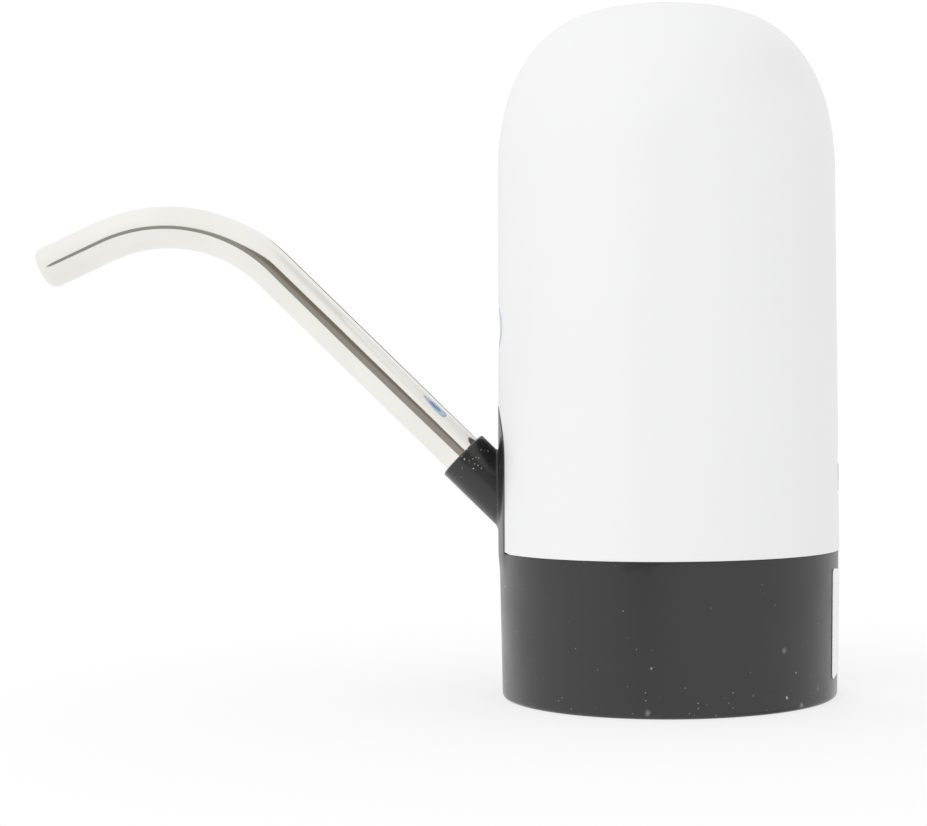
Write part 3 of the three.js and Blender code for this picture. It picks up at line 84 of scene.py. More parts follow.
# Places that several pieces share, in millimetres
BUTTON_HEIGHT = 70.0
PORT_HEIGHT = 42.0
LIGHT_HEIGHT = 53.0
BOARD_FACE = 23.6
DECK_UNDERSIDE = 18.8
CORNER_SCREW_CIRCLE = 24.4
DECK_SCREWS = ((8.0, -11.0), (-8.0, -11.0), (0.0, 19.0))
PUMP_MIDDLE = (-2.6, -9.5)
PUMP_SCREW_CIRCLE = 11.6
PUMP_FOOT = 40.0

Pair = tuple[float, float]
Point = tuple[float, float, float]
Rgb = tuple[float, float, float]
Rgba = tuple[float, float, float, float]
Corner = tuple[float, ...]
Place = Callable[[float, float, float], Vector]
Piece = bpy.types.Object
Socket = bpy.types.NodeSocket

WHITE = (1.0, 1.0, 1.0, 1.0)


class Body(Enum):
    """The bodies that a piece can ride on."""

    BASE = "base"
    SPOUT_GLAND = "spout_gland"
    SPOUT = "spout"
    BUTTON = "button"
    SOCKET_COVER = "socket_cover"


class Grain(Enum):
    """How the surface of a finish is broken up."""

    MOULDED = "fine grain of a moulded part"
    DRAWN = "faint lines along a drawn and polished tube"
    PLATED = "soft patches of a plated part"
    SOFT = "dull skin of a rubber part"
    TRACED = "copper lines under a board's lacquer"
    WOUND = "turns of varnished wire"


# Nodes and finishes


class NodeTree:
    """Adds and links nodes of one tree."""

    def __init__(self, tree: bpy.types.NodeTree) -> None:
        """Empties the tree that it will fill."""
        self.tree = tree
        tree.nodes.clear()

    def add(self, kind: str, inputs: dict | None = None, **settings: object) -> bpy.types.Node:
        """Adds a node, sets it and links its inputs.

        Args:
            kind: The node's type name.
            inputs: Values or output sockets by input name or index.
            settings: Attributes of the node.

        Returns:
            The new node.
        """
        node = self.tree.nodes.new(kind)
        for name, value in settings.items():
            setattr(node, name, value)
        for key, value in (inputs or {}).items():
            if isinstance(value, Socket):
                self.tree.links.new(value, node.inputs[key])
            else:
                node.inputs[key].default_value = value
        return node

    def math(self, operation: str, first: object, second: object = 0.0) -> Socket:
        """Adds a math node and returns its output."""
        return self.add("ShaderNodeMath", {0: first, 1: second}, operation=operation).outputs[0]

    def spread(self, value: object, low: float, high: float, start: float, end: float) -> Socket:
        """Maps a value from low..high to start..end, held at both ends."""
        inputs = {"Value": value, "From Min": low, "From Max": high, "To Min": start, "To Max": end}
        return self.add("ShaderNodeMapRange", inputs, interpolation_type="SMOOTHSTEP").outputs["Result"]

    def mix(self, share: object, first: object, second: object) -> Socket:
        """Mixes two colours by a share."""
        return self.add("ShaderNodeMix", {0: share, 6: first, 7: second}, data_type="RGBA").outputs[2]

    def noise(self, coordinates: object, scale: float, detail: float = 3.0) -> Socket:
        """Adds a noise texture and returns its factor."""
        inputs = {"Vector": coordinates, "Scale": scale, "Detail": detail}
        return self.add("ShaderNodeTexNoise", inputs).outputs["Fac"]

    def store(self, shape: object, name: str, value: object, kind: str = "FLOAT") -> Socket:
        """Stores a value on the points of a shape under a name."""
        inputs = {"Geometry": shape, "Name": name, "Value": value}
        return self.add("GeometryNodeStoreNamedAttribute", inputs, data_type=kind, domain="POINT").outputs[0]


def rgba(colour: Rgb, gain: float = 1.0) -> Rgba:
    """A colour with alpha 1, brightened or darkened by a gain."""
    return (colour[0] * gain, colour[1] * gain, colour[2] * gain, 1.0)


def new_material(name: str) -> tuple[bpy.types.Material, NodeTree]:
    """Starts a material and gives it with its empty tree."""
    made = bpy.data.materials.new(name)
    made.use_nodes = True
    return made, NodeTree(made.node_tree)


@dataclass(frozen=True)
class Specks:
    """One layer of specks, all about as large.

    Scale is in spots to a metre, bare is the chance that a spot has no speck, reach is a speck's size as a
    share of the spacing, full is the share of it at full strength, and strength is the brightest speck's.
    """

    scale: float
    bare: float
    reach: float
    full: float
    strength: float


DUST_LAYERS = (
    Specks(290.0, 0.96, 0.24, 0.1, 0.4), Specks(330.0, 0.985, 0.12, 0.5, 0.8),
    Specks(620.0, 0.978, 0.15, 0.5, 0.7), Specks(1300.0, 0.97, 0.2, 0.5, 0.6),
)
# Pale specks by the socket's mouth, which paint the glints of water drops as colour
GLINT_SPECKS = Specks(1900.0, 1.0, 0.34, 0.6, 1.6)
# Heights and reaches in metres
DUSTY_HEIGHTS = (0.001, 0.009)
GLINT_REACH = (0.0014, 0.0042)
GLINT_SHARE = 0.62
PLATED_CELLS = 900.0
TRACED_ROWS = 260.0
WOUND_TURNS = 800.0


@dataclass(frozen=True)
class Finish:
    """The finish of one kind of surface.

    Scales are in repeats per metre and depths in metres.
    """

    name: str
    colour: Rgb
    roughness: float
    grain: Grain = Grain.MOULDED
    metallic: float = 0.0
    patch_gain: float = 0.96
    patch_scale: float = 55.0
    roughness_spread: float = 0.05
    grain_scale: float = 2600.0
    grain_depth: float = 0.000012
    # Strength and colour of the specks: dust, and the painted glints where a spot for them is given
    dust_and_glints: float = 0.0
    dust_and_glint_colour: Rgb = (0.5, 0.5, 0.49)
    settled: float = 0.0
    # Middle of the pale specks that paint the glints of water drops, in millimetres
    glint_spot: Point | None = None
    wear_gain: float = 1.12
    coat: float = 0.0
    transmission: float = 0.0
    subsurface: float = 0.0

    def material(self) -> bpy.types.Material:
        """Builds the finish as a material, once.

        Returns:
            The material.
        """
        title = self.name + "_finish"
        found = bpy.data.materials.get(title)
        if found is not None:
            return found
        made, tree = new_material(title)
        coordinates = tree.add("ShaderNodeTexCoord").outputs["Object"]
        height, colour = self._surface(tree, coordinates)
        colour = self._worn(tree, colour)
        # Specks of dust, and painted glints where there is a glint spot; all of them are rougher
        colour, dust_and_glints = self._scatter_dust_and_glints(tree, coordinates, colour)
        uneven = tree.noise(coordinates, self.patch_scale * 3)
        low, high = self.roughness - self.roughness_spread, self.roughness + self.roughness_spread
        roughness = tree.spread(uneven, 0.3, 0.7, max(low, 0.02), high)
        roughness = tree.math("MAXIMUM", roughness, tree.math("MULTIPLY", dust_and_glints, 0.7))
        inputs = {"Height": height, "Distance": self.grain_depth, "Strength": 1.0}
        bump = tree.add("ShaderNodeBump", inputs).outputs["Normal"]
        inputs = {
            "Base Color": colour, "Roughness": roughness, "Normal": bump, "Metallic": self.metallic,
            "Coat Weight": self.coat, "Transmission Weight": self.transmission,
            "Subsurface Weight": self.subsurface, "Subsurface Scale": MM,
        }
        shader = tree.add("ShaderNodeBsdfPrincipled", inputs)
        tree.add("ShaderNodeOutputMaterial", {"Surface": shader.outputs[0]})
        return made

    def _surface(self, tree: NodeTree, coordinates: Socket) -> tuple:
        """The grain's height and the uneven colour under it.

        Args:
            tree: The material's tree.
            coordinates: The piece's own coordinates.

        Returns:
            The height socket and the colour socket.
        """
        patches = tree.spread(tree.noise(coordinates, self.patch_scale), 0.35, 0.65, 0.0, 1.0)
        colour = tree.mix(patches, rgba(self.colour), rgba(self.colour, self.patch_gain))
        height = tree.noise(coordinates, self.grain_scale, 2.0)
        if self.grain is Grain.DRAWN:
            along = tree.add("ShaderNodeAttribute", attribute_name="around").outputs["Vector"]
            stretched = tree.add("ShaderNodeMapping", {"Vector": along, "Scale": (1.0, 1.0, 2.0)})
            height = tree.noise(stretched.outputs[0], self.grain_scale, 3.0)
        elif self.grain is Grain.PLATED:
            cells = tree.add("ShaderNodeTexVoronoi", {"Vector": coordinates, "Scale": PLATED_CELLS})
            share = tree.math("MULTIPLY", cells.outputs["Distance"], 0.35)
            colour = tree.mix(share, colour, rgba(self.colour, 1.15))
        elif self.grain is Grain.SOFT:
            coarse = tree.noise(coordinates, self.grain_scale * 0.25, 4.0)
            height = tree.math("ADD", height, tree.math("MULTIPLY", coarse, 2.0))
        elif self.grain is Grain.TRACED:
            inputs = {
                "Vector": coordinates, "Scale": TRACED_ROWS, "Color1": (0.0, 0.0, 0.0, 1.0),
                "Color2": (0.25, 0.25, 0.25, 1.0), "Mortar": WHITE, "Mortar Size": 0.03,
            }
            lines = tree.add("ShaderNodeTexBrick", inputs)
            colour = tree.mix(lines.outputs["Color"], colour, rgba(self.colour, 1.9))
            height = tree.math("ADD", height, lines.outputs["Fac"])
        elif self.grain is Grain.WOUND:
            inputs = {"Vector": coordinates, "Scale": WOUND_TURNS, "Distortion": 0.6}
            waves = tree.add("ShaderNodeTexWave", inputs, bands_direction="Z").outputs["Fac"]
            colour = tree.mix(waves, rgba(self.colour, 0.45), colour)
            height = tree.math("ADD", waves, height)
        return height, colour

    def _worn(self, tree: NodeTree, colour: Socket) -> Socket:
        """Rubs the outer edges a little lighter.

        Args:
            tree: The material's tree.
            colour: The colour before the wear.

        Returns:
            The worn colour.
        """
        point = tree.add("ShaderNodeNewGeometry").outputs["Pointiness"]
        share = tree.spread(point, 0.53, 0.62, 0.0, 0.8)
        return tree.mix(share, colour, rgba(self.colour, self.wear_gain))

    def _scatter_dust_and_glints(self, tree: NodeTree, coordinates: Socket, colour: Socket) -> tuple:
        """Scatters fine specks of dust and lint over the colour, and pale specks round one spot that paint the glints
        of water drops.

        Args:
            tree: The material's tree.
            coordinates: The piece's own coordinates.
            colour: The colour under the dust.

        Returns:
            The colour with its dust and painted glints, and a socket that is 1 on a speck.
        """
        height = tree.add("ShaderNodeSeparateXYZ", {0: coordinates}).outputs[2]
        near_floor = tree.spread(height, *DUSTY_HEIGHTS, self.settled, 0.0)
        layers = [self._specks(tree, coordinates, near_floor, layer) for layer in DUST_LAYERS]
        # Pale specks round the spot paint the glints of water drops
        if self.glint_spot is not None:
            ends = {0: coordinates, 1: tuple(value * MM for value in self.glint_spot)}
            reach = tree.add("ShaderNodeVectorMath", ends, operation="DISTANCE").outputs["Value"]
            near_glints = tree.spread(reach, *GLINT_REACH, GLINT_SHARE, 0.0)
            layers.append(self._specks(tree, coordinates, near_glints, GLINT_SPECKS))
        total = layers[0]
        for layer in layers[1:]:
            total = tree.math("MAXIMUM", total, layer)
        share = tree.math("MULTIPLY", total, self.dust_and_glints)
        return tree.mix(share, colour, rgba(self.dust_and_glint_colour)), share

    def _specks(
        self, tree: NodeTree, coordinates: Socket, more: Socket, layer: Specks
    ) -> Socket:
        """Scatters one layer of specks.

        Args:
            tree: The material's tree.
            coordinates: The piece's own coordinates.
            more: How far the chance of a bare spot is lowered.
            layer: The layer's sizes.

        Returns:
            A socket that is above 0 on a speck.
        """
        wobble = tree.noise(coordinates, layer.scale * 2.5)
        across = tree.math("MULTIPLY", wobble, 0.35 / layer.scale)
        shift = tree.add("ShaderNodeCombineXYZ", {0: across}).outputs[0]
        moved = tree.add("ShaderNodeVectorMath", {0: coordinates, 1: shift}, operation="ADD").outputs[0]
        cells = tree.add("ShaderNodeTexVoronoi", {"Vector": moved, "Scale": layer.scale})
        chosen = tree.add("ShaderNodeSeparateColor", {"Color": cells.outputs["Color"]})
        bright, edge = layer.reach * layer.full, layer.reach
        near = tree.spread(cells.outputs["Distance"], bright, edge, layer.strength, 0.0)
        picked = tree.math("GREATER_THAN", tree.math("ADD", chosen.outputs[0], more), layer.bare)
        return tree.math("MULTIPLY", chosen.outputs[1], tree.math("MULTIPLY", near, picked))


@dataclass(frozen=True)
class RingedFinish(Finish):
    """The button's milky plastic, with a deeper tint in the middle."""

    middle: Point = (0.0, 0.0, 0.0)
    half_size: Pair = (8.35, 4.5)
    deep: Rgb = (0.17, 0.3, 0.5)
    deep_reach: Pair = (0.5, 0.62)

    def _surface(self, tree: NodeTree, coordinates: Socket) -> tuple:
        """The milky colour, tinted by how far a point lies from the button's middle.

        Args:
            tree: The material's tree.
            coordinates: The piece's own coordinates.

        Returns:
            The height socket and the colour socket.
        """
        height, colour = super()._surface(tree, coordinates)
        parts = tree.add("ShaderNodeSeparateXYZ", {0: coordinates}).outputs
        squares = []
        for axis, half in zip((1, 2), self.half_size):
            away = tree.math("SUBTRACT", parts[axis], self.middle[axis] * MM)
            share = tree.math("DIVIDE", away, half * MM)
            squares.append(tree.math("MULTIPLY", share, share))
        reach = tree.math("SQRT", tree.math("ADD", *squares))
        share = tree.spread(reach, *self.deep_reach, 1.0, 0.0)
        return height, tree.mix(share, colour, rgba(self.deep))


WHITE_SHELL = Finish(
    "white_shell", (0.862, 0.864, 0.866), 0.36, patch_gain=0.994, patch_scale=30.0, grain_depth=0.0000015,
    dust_and_glints=0.03, dust_and_glint_colour=(0.6, 0.6, 0.59), wear_gain=1.01, roughness_spread=0.015,
)
# The base's glint spot is the socket's mouth, where pale specks paint the glints of water drops
BLACK_BASE = Finish(
    "black_base", (0.0148, 0.015, 0.0154), 0.34, patch_gain=1.14, patch_scale=40.0, grain_scale=3200.0,
    grain_depth=0.000006, dust_and_glints=0.9, wear_gain=1.8, coat=0.26, settled=0.16, glint_spot=(-36.6, -5.9, 46.0),
)
POLISHED_STEEL = Finish(
    "polished_steel", (0.9, 0.885, 0.845), 0.07, Grain.DRAWN, metallic=1.0, patch_gain=0.97,
    patch_scale=90.0, roughness_spread=0.02, grain_scale=40.0, grain_depth=0.0000016, wear_gain=1.0,
    dust_and_glints=0.1, dust_and_glint_colour=(0.6, 0.59, 0.56),
)
PALE_BUTTON = RingedFinish(
    "pale_blue_lens", (0.47, 0.57, 0.76), 0.28, grain_depth=0.000002, subsurface=0.15, coat=0.3,
    dust_and_glints=0.08, middle=(0.0, 0.0, BUTTON_HEIGHT),
)
LABEL_FILM = Finish(
    "label_film", (0.93, 0.93, 0.925), 0.42, patch_gain=0.97, grain_scale=5200.0, grain_depth=0.000004,
    dust_and_glints=0.15, dust_and_glint_colour=(0.45, 0.44, 0.42),
)
BLACK_RUBBER = Finish(
    "soft_black_rubber", (0.02, 0.02, 0.021), 0.62, Grain.SOFT, grain_scale=2200.0, dust_and_glints=0.7,
    dust_and_glint_colour=(0.22, 0.22, 0.21), wear_gain=1.5, grain_depth=0.00002,
)
MILKY_SILICONE = Finish(
    "milky_silicone", (0.7, 0.71, 0.69), 0.48, Grain.SOFT, subsurface=0.2, dust_and_glints=0.2,
    dust_and_glint_colour=(0.4, 0.4, 0.38), grain_depth=0.000008,
)
WHITE_NYLON = Finish("white_nylon", (0.72, 0.72, 0.68), 0.45, subsurface=0.1, dust_and_glints=0.1)
GREY_NYLON = Finish("grey_nylon", (0.16, 0.165, 0.175), 0.5, grain_depth=0.00002, dust_and_glints=0.2, wear_gain=1.4)
ZINC_PLATE = Finish(
    "zinc_plate", (0.58, 0.59, 0.6), 0.26, Grain.PLATED, metallic=1.0, patch_gain=0.85, grain_depth=0.000004
)
FERRITE = Finish("magnet_ferrite", (0.06, 0.06, 0.065), 0.55, Grain.SOFT, metallic=0.3, wear_gain=1.6)
ARMATURE = Finish("armature_steel", (0.34, 0.17, 0.08), 0.36, Grain.WOUND, metallic=0.7, grain_depth=0.00006)
BRASS = Finish("turned_brass", (0.72, 0.55, 0.27), 0.24, Grain.PLATED, metallic=1.0, patch_gain=0.9)
CELL_WRAP = Finish(
    "cell_wrap", (0.06, 0.22, 0.42), 0.3, coat=0.4, patch_gain=0.9, grain_scale=420.0, grain_depth=0.00004
)
BOARD = Finish("circuit_board", (0.015, 0.11, 0.05), 0.34, Grain.TRACED, grain_depth=0.00002, coat=0.3)
SWITCH_BLACK = Finish("switch_black", (0.03, 0.03, 0.03), 0.45, wear_gain=1.5)
CLEAR_PIPE = Finish("clear_plastic", (0.86, 0.89, 0.9), 0.12, transmission=0.85, grain_depth=0.000002)
RED_WIRE = Finish("red_insulation", (0.42, 0.025, 0.022), 0.42, Grain.SOFT, grain_depth=0.000006)
BLACK_WIRE = Finish("black_insulation", (0.018, 0.018, 0.019), 0.42, Grain.SOFT, grain_depth=0.000006)
FINISHES = {
    finish.name: finish
    for finish in (
        WHITE_SHELL, BLACK_BASE, POLISHED_STEEL, PALE_BUTTON, LABEL_FILM, BLACK_RUBBER, MILKY_SILICONE,
        WHITE_NYLON, GREY_NYLON, ZINC_PLATE, FERRITE, ARMATURE, BRASS, CELL_WRAP, BOARD, SWITCH_BLACK,
        CLEAR_PIPE, RED_WIRE, BLACK_WIRE,
    )
}


# Meshes


def linked(name: str, data: bpy.types.ID) -> Piece:
    """Makes an object in the scene.

    Args:
        name: Its name.
        data: What it shows.

    Returns:
        The object.
    """
    made = bpy.data.objects.new(name, data)
    bpy.context.scene.collection.objects.link(made)
    return made


@dataclass
class Skin:
    """Points in millimetres and the faces between them, which become one welded mesh."""

    points: list[Vector] = field(default_factory=list)
    faces: list[tuple[int, ...]] = field(default_factory=list)

    def ring(self, points: Sequence[Vector]) -> list[int]:
        """Adds a row of points, in millimetres, and gives their numbers."""
        self.points.extend(points)
        return list(range(len(self.points) - len(points), len(self.points)))

    def bands(self, rings: Sequence[Sequence[Vector]], closed: bool = True) -> None:
        """Joins rows of equally many points by quads.

        Args:
            rings: The rows, in order.
            closed: Whether each row's last point joins its first.
        """
        rows = [self.ring(row) for row in rings]
        for first, second in zip(rows, rows[1:]):
            count = len(first) if closed else len(first) - 1
            for i in range(count):
                j = (i + 1) % len(first)
                self.faces.append((first[i], first[j], second[j], second[i]))

    def merge(self, other: Skin, frame: Matrix | None = None) -> None:
        """Takes in another skin.

        Args:
            other: The skin to take in.
            frame: Where it goes, if it doesn't stay where it is.
        """
        start = len(self.points)
        self.points.extend(p if frame is None else frame @ p for p in other.points)
        self.faces.extend(tuple(i + start for i in face) for face in other.faces)

    def piece(self, name: str, sharp_degrees: float = SHARP_DEGREES) -> Piece:
        """Welds the skin and makes it an object.

        Args:
            name: The piece's name.
            sharp_degrees: Edges that turn by more than this stay sharp.

        Returns:
            The object, at the origin, with its place in its mesh.
        """
        mesh = bpy.data.meshes.new(name)
        mesh.from_pydata([tuple(p) for p in self.points], [], self.faces)
        work = bmesh.new()
        work.from_mesh(mesh)
        bmesh.ops.remove_doubles(work, verts=work.verts, dist=WELD)
        bmesh.ops.recalc_face_normals(work, faces=work.faces)
        bmesh.ops.scale(work, vec=(MM, MM, MM), verts=work.verts)
        work.to_mesh(mesh)
        work.free()
        mesh.shade_smooth()
        mesh.set_sharp_from_angle(angle=math.radians(sharp_degrees))
        return linked(name, mesh)


def circle(radius: float, count: int, clockwise: bool = False, centre: Pair = (0.0, 0.0)) -> list[Pair]:
    """Points round a circle in a plane, clockwise where it is the edge of a hole."""
    angles = [(-FULL_TURN if clockwise else FULL_TURN) * i / count for i in range(count)]
    return [(centre[0] + radius * math.cos(a), centre[1] + radius * math.sin(a)) for a in angles]


def corner_places(radius: float) -> list[Pair]:
    """The four places at a radius, halfway between the axes."""
    angles = [math.pi / 4 + i * QUARTER_TURN for i in range(4)]
    return [(radius * math.cos(a), radius * math.sin(a)) for a in angles]


def quarter_round(radius: float, steps: int) -> list[Pair]:
    """Offsets and depths round an edge, from the face in front to the side."""
    angles = [QUARTER_TURN * k / steps for k in range(steps + 1)]
    return [(radius * (1 - math.sin(a)), radius * (1 - math.cos(a))) for a in angles]


def rounded(corners: Sequence[Corner], steps: int = 4) -> list[Pair]:
    """An outline whose corners are rounded.

    Args:
        corners: The corners, each with an optional third number, its radius.
        steps: Steps in each rounded corner.

    Returns:
        The outline's points.
    """
    made: list[Pair] = []
    for i, corner in enumerate(corners):
        here = Vector(corner[:2])
        radius = corner[2] if len(corner) > 2 else 0.0
        into = Vector(corners[i - 1][:2]) - here
        out = Vector(corners[(i + 1) % len(corners)][:2]) - here
        if radius <= 0.0:
            made.append((here.x, here.y))
            continue
        half = into.angle(out) / 2
        reach = min(radius / math.tan(half), into.length * 0.49, out.length * 0.49)
        start, end = here + into.normalized() * reach, here + out.normalized() * reach
        true_radius = reach * math.tan(half)
        middle = here + (into.normalized() + out.normalized()).normalized() * (true_radius / math.sin(half))
        first, sweep = start - middle, (start - middle).angle_signed(end - middle)
        for k in range(steps + 1):
            angle = -sweep * k / steps
            turned = Matrix.Rotation(angle, 2) @ first
            made.append((middle.x + turned.x, middle.y + turned.y))
    return made


def revolved(profile: Sequence[Pair], sides: int) -> Skin:
    """A solid of revolution about Z.

    Args:
        profile: Points of radius and height, the last of which joins the first.
        sides: Sides of the round.

    Returns:
        The skin.
    """
    directions = circle(1.0, sides)
    skin = Skin()
    skin.bands([[Vector((r * x, r * y, z)) for x, y in directions] for r, z in (*profile, profile[0])])
    return skin


def shifted(outline: Sequence[Pair], distance: float, closed: bool) -> list[Pair]:
    """Moves an outline to its left, with mitred corners.

    Args:
        outline: The outline's points.
        distance: How far it moves.
        closed: Whether its last point joins its first.

    Returns:
        The moved outline.
    """
    points = np.array(outline, float)
    if closed:
        before, after = np.roll(points, 1, 0), np.roll(points, -1, 0)
    else:
        before = np.vstack([2 * points[0] - points[1], points[:-1]])
        after = np.vstack([points[1:], 2 * points[-1] - points[-2]])
    into, out = points - before, after - points
    into /= np.linalg.norm(into, axis=1)[:, None]
    out /= np.linalg.norm(out, axis=1)[:, None]
    normals = np.stack([-(into + out)[:, 1], (into + out)[:, 0]], 1)
    normals /= np.linalg.norm(normals, axis=1)[:, None]
    square = np.stack([-into[:, 1], into[:, 0]], 1)
    stretch = np.clip((normals * square).sum(1), 0.4, 1.0)
    moved = points + normals * (distance / stretch)[:, None]
    return [(float(x), float(y)) for x, y in moved]


def inside(points: np.ndarray, outline: Sequence[Pair]) -> np.ndarray:
    """Finds the points inside a closed outline.

    Args:
        points: Places in the plane, one to a row.
        outline: The outline's points.

    Returns:
        True for each point inside it.
    """
    found = np.zeros(len(points), bool)
    corners = np.array(outline, float)
    for (x0, y0), (x1, y1) in zip(corners, np.roll(corners, -1, 0)):
        if y0 == y1:
            continue
        crosses = (points[:, 1] > y0) != (points[:, 1] > y1)
        at = x0 + (points[:, 1] - y0) * (x1 - x0) / (y1 - y0)
        found ^= crosses & (points[:, 0] < at)
    return found


def between(points: np.ndarray, outlines: Sequence[Sequence[Pair]]) -> np.ndarray:
    """Finds the points inside the first outline and outside the others.

    Args:
        points: Places in the plane, one to a row.
        outlines: The outer outline and the holes in it.

    Returns:
        True for each point between them.
    """
    found = inside(points, outlines[0])
    for hole in outlines[1:]:
        found &= ~inside(points, hole)
    return found


@dataclass
class Rim:
    """An edge of a sheet, walked with the material on its left.

    Front and back are its places on the two faces, and rings are the rows of points between them.
    """

    front: list[Pair]
    back: list[Pair]
    rings: list[list[Vector]]
    closed: bool = True
    bare: bool = False

    @classmethod
    def soft(
        cls, outline: Sequence[Pair], place: Place, depth: float, rounds: Pair, closed: bool = True, steps: int = 4
    ) -> Rim:
        """A rim with rounded edges.

        Args:
            outline: The rim's outline, with the material on its left.
            place: Puts across, up and depth in space.
            depth: The sheet's thickness.
            rounds: Radius of the front and back edges.
            closed: Whether the outline closes.
            steps: Steps in each rounded edge.

        Returns:
            The rim.
        """
        front, back = (quarter_round(radius, steps) for radius in rounds)
        profile = front + [(offset, depth - sunk) for offset, sunk in reversed(back)]
        return cls.stepped(outline, place, profile, closed)

    @classmethod
    def stepped(cls, outline: Sequence[Pair], place: Place, profile: Sequence[Pair], closed: bool = True) -> Rim:
        """A rim that follows a profile.

        Args:
            outline: The rim's outline, with the material on its left.
            place: Puts across, up and depth in space.
            profile: Offsets into the material and depths, from front to back.
            closed: Whether the outline closes.

        Returns:
            The rim.
        """
        rows = [(shifted(outline, offset, closed), depth) for offset, depth in profile]
        rings = [[place(u, v, depth) for u, v in row] for row, depth in rows[1:-1]]
        return cls(rows[0][0], rows[-1][0], rings, closed)


@dataclass
class Sheet:
    """A wall with rims, over a plane that a rule bends into place.

    A sheet that wraps has two open rims, the lower one first, and meets itself at its sides.
    """

    place: Place
    depth: float
    step: float
    rims: list[Rim]
    wraps: bool = False
    back_step: float = 0.0

    def skin(self) -> Skin:
        """Makes both faces and the rims between them.

        Returns:
            The skin.
        """
        made = Skin()
        self._face(made, 0.0, [rim.front for rim in self.rims], self.step)
        self._face(made, self.depth, [rim.back for rim in self.rims], self.back_step or self.step)
        for rim in self.rims:
            if rim.bare:
                continue
            first = [self.place(u, v, 0.0) for u, v in rim.front]
            last = [self.place(u, v, self.depth) for u, v in rim.back]
            made.bands([first, *rim.rings, last], rim.closed)
        return made

    def _outlines(self, rims: list[list[Pair]], step: float) -> list[list[Pair]]:
        """The closed outlines of one face.

        Args:
            rims: The rims' places on this face.
            step: Distance between the points up the sides, where the sheet meets itself.

        Returns:
            The outlines, the outer one first.
        """
        if not self.wraps:
            return rims
        lower, upper, holes = rims[0], rims[1], rims[2:]
        low, high = lower[-1][1], upper[0][1]
        count = max(int((high - low) / step), 1)
        heights = [low + (high - low) * i / count for i in range(1, count)]
        right = [(lower[-1][0], height) for height in heights]
        left = [(lower[0][0], height) for height in reversed(heights)]
        return [lower + right + upper + left, *holes]

    def _face(self, made: Skin, depth: float, rims: list[list[Pair]], step: float) -> None:
        """Fills one face with triangles.

        Args:
            made: The skin that takes the face.
            depth: How deep the face lies.
            rims: The rims' places on this face.
            step: Distance between the points inside the face.
        """
        outlines = self._outlines(rims, step)
        border = np.array([point for outline in outlines for point in outline], float)
        lowest, highest = border.min(0), border.max(0)
        across = np.arange(lowest[0] + step / 2, highest[0], step)
        up = np.arange(lowest[1] + step / 2, highest[1], step)
        grid = np.stack(np.meshgrid(across, up), -1).reshape(-1, 2)
        grid = grid[between(grid, outlines)]
        clear = np.full(len(grid), np.inf)
        for start in range(0, len(border), 200):
            part = border[start:start + 200]
            clear = np.minimum(clear, np.linalg.norm(grid[:, None] - part[None], axis=2).min(1))
        grid = grid[clear > step * 0.55]
        edges, start = [], 0
        for outline in outlines:
            edges += [(start + i, start + (i + 1) % len(outline)) for i in range(len(outline))]
            start += len(outline)
        points = [Vector(p) for p in np.vstack([border, grid]).tolist()]
        corners, _, faces, *_ = geometry.delaunay_2d_cdt(points, edges, [], 1, 1e-6)
        flat = np.array([(c.x, c.y) for c in corners])
        middles = np.array([flat[list(face)].mean(0) for face in faces])
        numbers = made.ring([self.place(u, v, depth) for u, v in flat.tolist()])
        kept = between(middles, outlines)
        made.faces.extend(tuple(numbers[i] for i in face) for face, keep in zip(faces, kept) if keep)


def slab(outline: list[Pair], place: Place, depth: float, step: float, rounds: Pair, steps: int = 4) -> Skin:
    """A sheet with one soft rim and no holes."""
    return Sheet(place, depth, step, [Rim.soft(outline, place, depth, rounds, steps=steps)]).skin()


def facing_x(front: float, inward: float = -1.0) -> Place:
    """The place of a flat sheet across X, whose depth runs against X, or along X where inward is 1."""

    def place(across: float, height: float, depth: float) -> Vector:
        """A point of the sheet."""
        return Vector((front + inward * depth, across, height))

    return place


# Pieces made by geometry nodes


def new_tree(name: str, sockets: dict[str, str]) -> tuple[NodeTree, bpy.types.Node]:
    """Starts a geometry tree with named inputs.

    Args:
        name: The tree's name.
        sockets: The type of each named input after the geometry.

    Returns:
        The tree and its input node.
    """
    group = bpy.data.node_groups.new(name, "GeometryNodeTree")
    group.interface.new_socket("Geometry", in_out="INPUT", socket_type="NodeSocketGeometry")
    for label, kind in sockets.items():
        group.interface.new_socket(label, in_out="INPUT", socket_type=kind)
    group.interface.new_socket("Geometry", in_out="OUTPUT", socket_type="NodeSocketGeometry")
    tree = NodeTree(group)
    return tree, tree.add("NodeGroupInput")


def close_tree(tree: NodeTree, shape: Socket, material: Socket) -> bpy.types.NodeTree:
    """Ends a geometry tree in plain geometry with its material.

    Args:
        tree: The tree.
        shape: What it has made.
        material: Its material input.

    Returns:
        The finished tree.
    """
    real = tree.add("GeometryNodeRealizeInstances", {0: shape}).outputs[0]
    dressed = tree.add("GeometryNodeSetMaterial", {"Geometry": real, "Material": material}).outputs[0]
    tree.add("NodeGroupOutput", {0: dressed})
    return tree.tree


def run_tree(host: Piece, group: bpy.types.NodeTree, values: dict[str, object]) -> None:
    """Runs a geometry tree on an object and keeps the plain mesh that it gives.

    Args:
        host: The object that carries the tree.
        group: The tree.
        values: Values of its inputs by name.
    """
    modifier = host.modifiers.new(group.name, "NODES")
    modifier.node_group = group
    for item in group.interface.items_tree:
        if item.item_type == "SOCKET" and item.in_out == "INPUT" and item.name in values:
            modifier[item.identifier] = values[item.name]
    frozen(host)


def frozen(piece: Piece) -> Piece:
    """Turns a piece's modifiers into a plain mesh.

    Args:
        piece: The piece with its modifiers.

    Returns:
        The same piece with its new mesh.
    """
    bpy.context.view_layer.update()
    graph = bpy.context.evaluated_depsgraph_get()
    solid = piece.evaluated_get(graph)
    mesh = bpy.data.meshes.new_from_object(solid, preserve_all_data_layers=True, depsgraph=graph)
    piece.modifiers.clear()
    piece.data = mesh
    mesh.shade_smooth()
    mesh.set_sharp_from_angle(angle=math.radians(SHARP_DEGREES))
    return piece


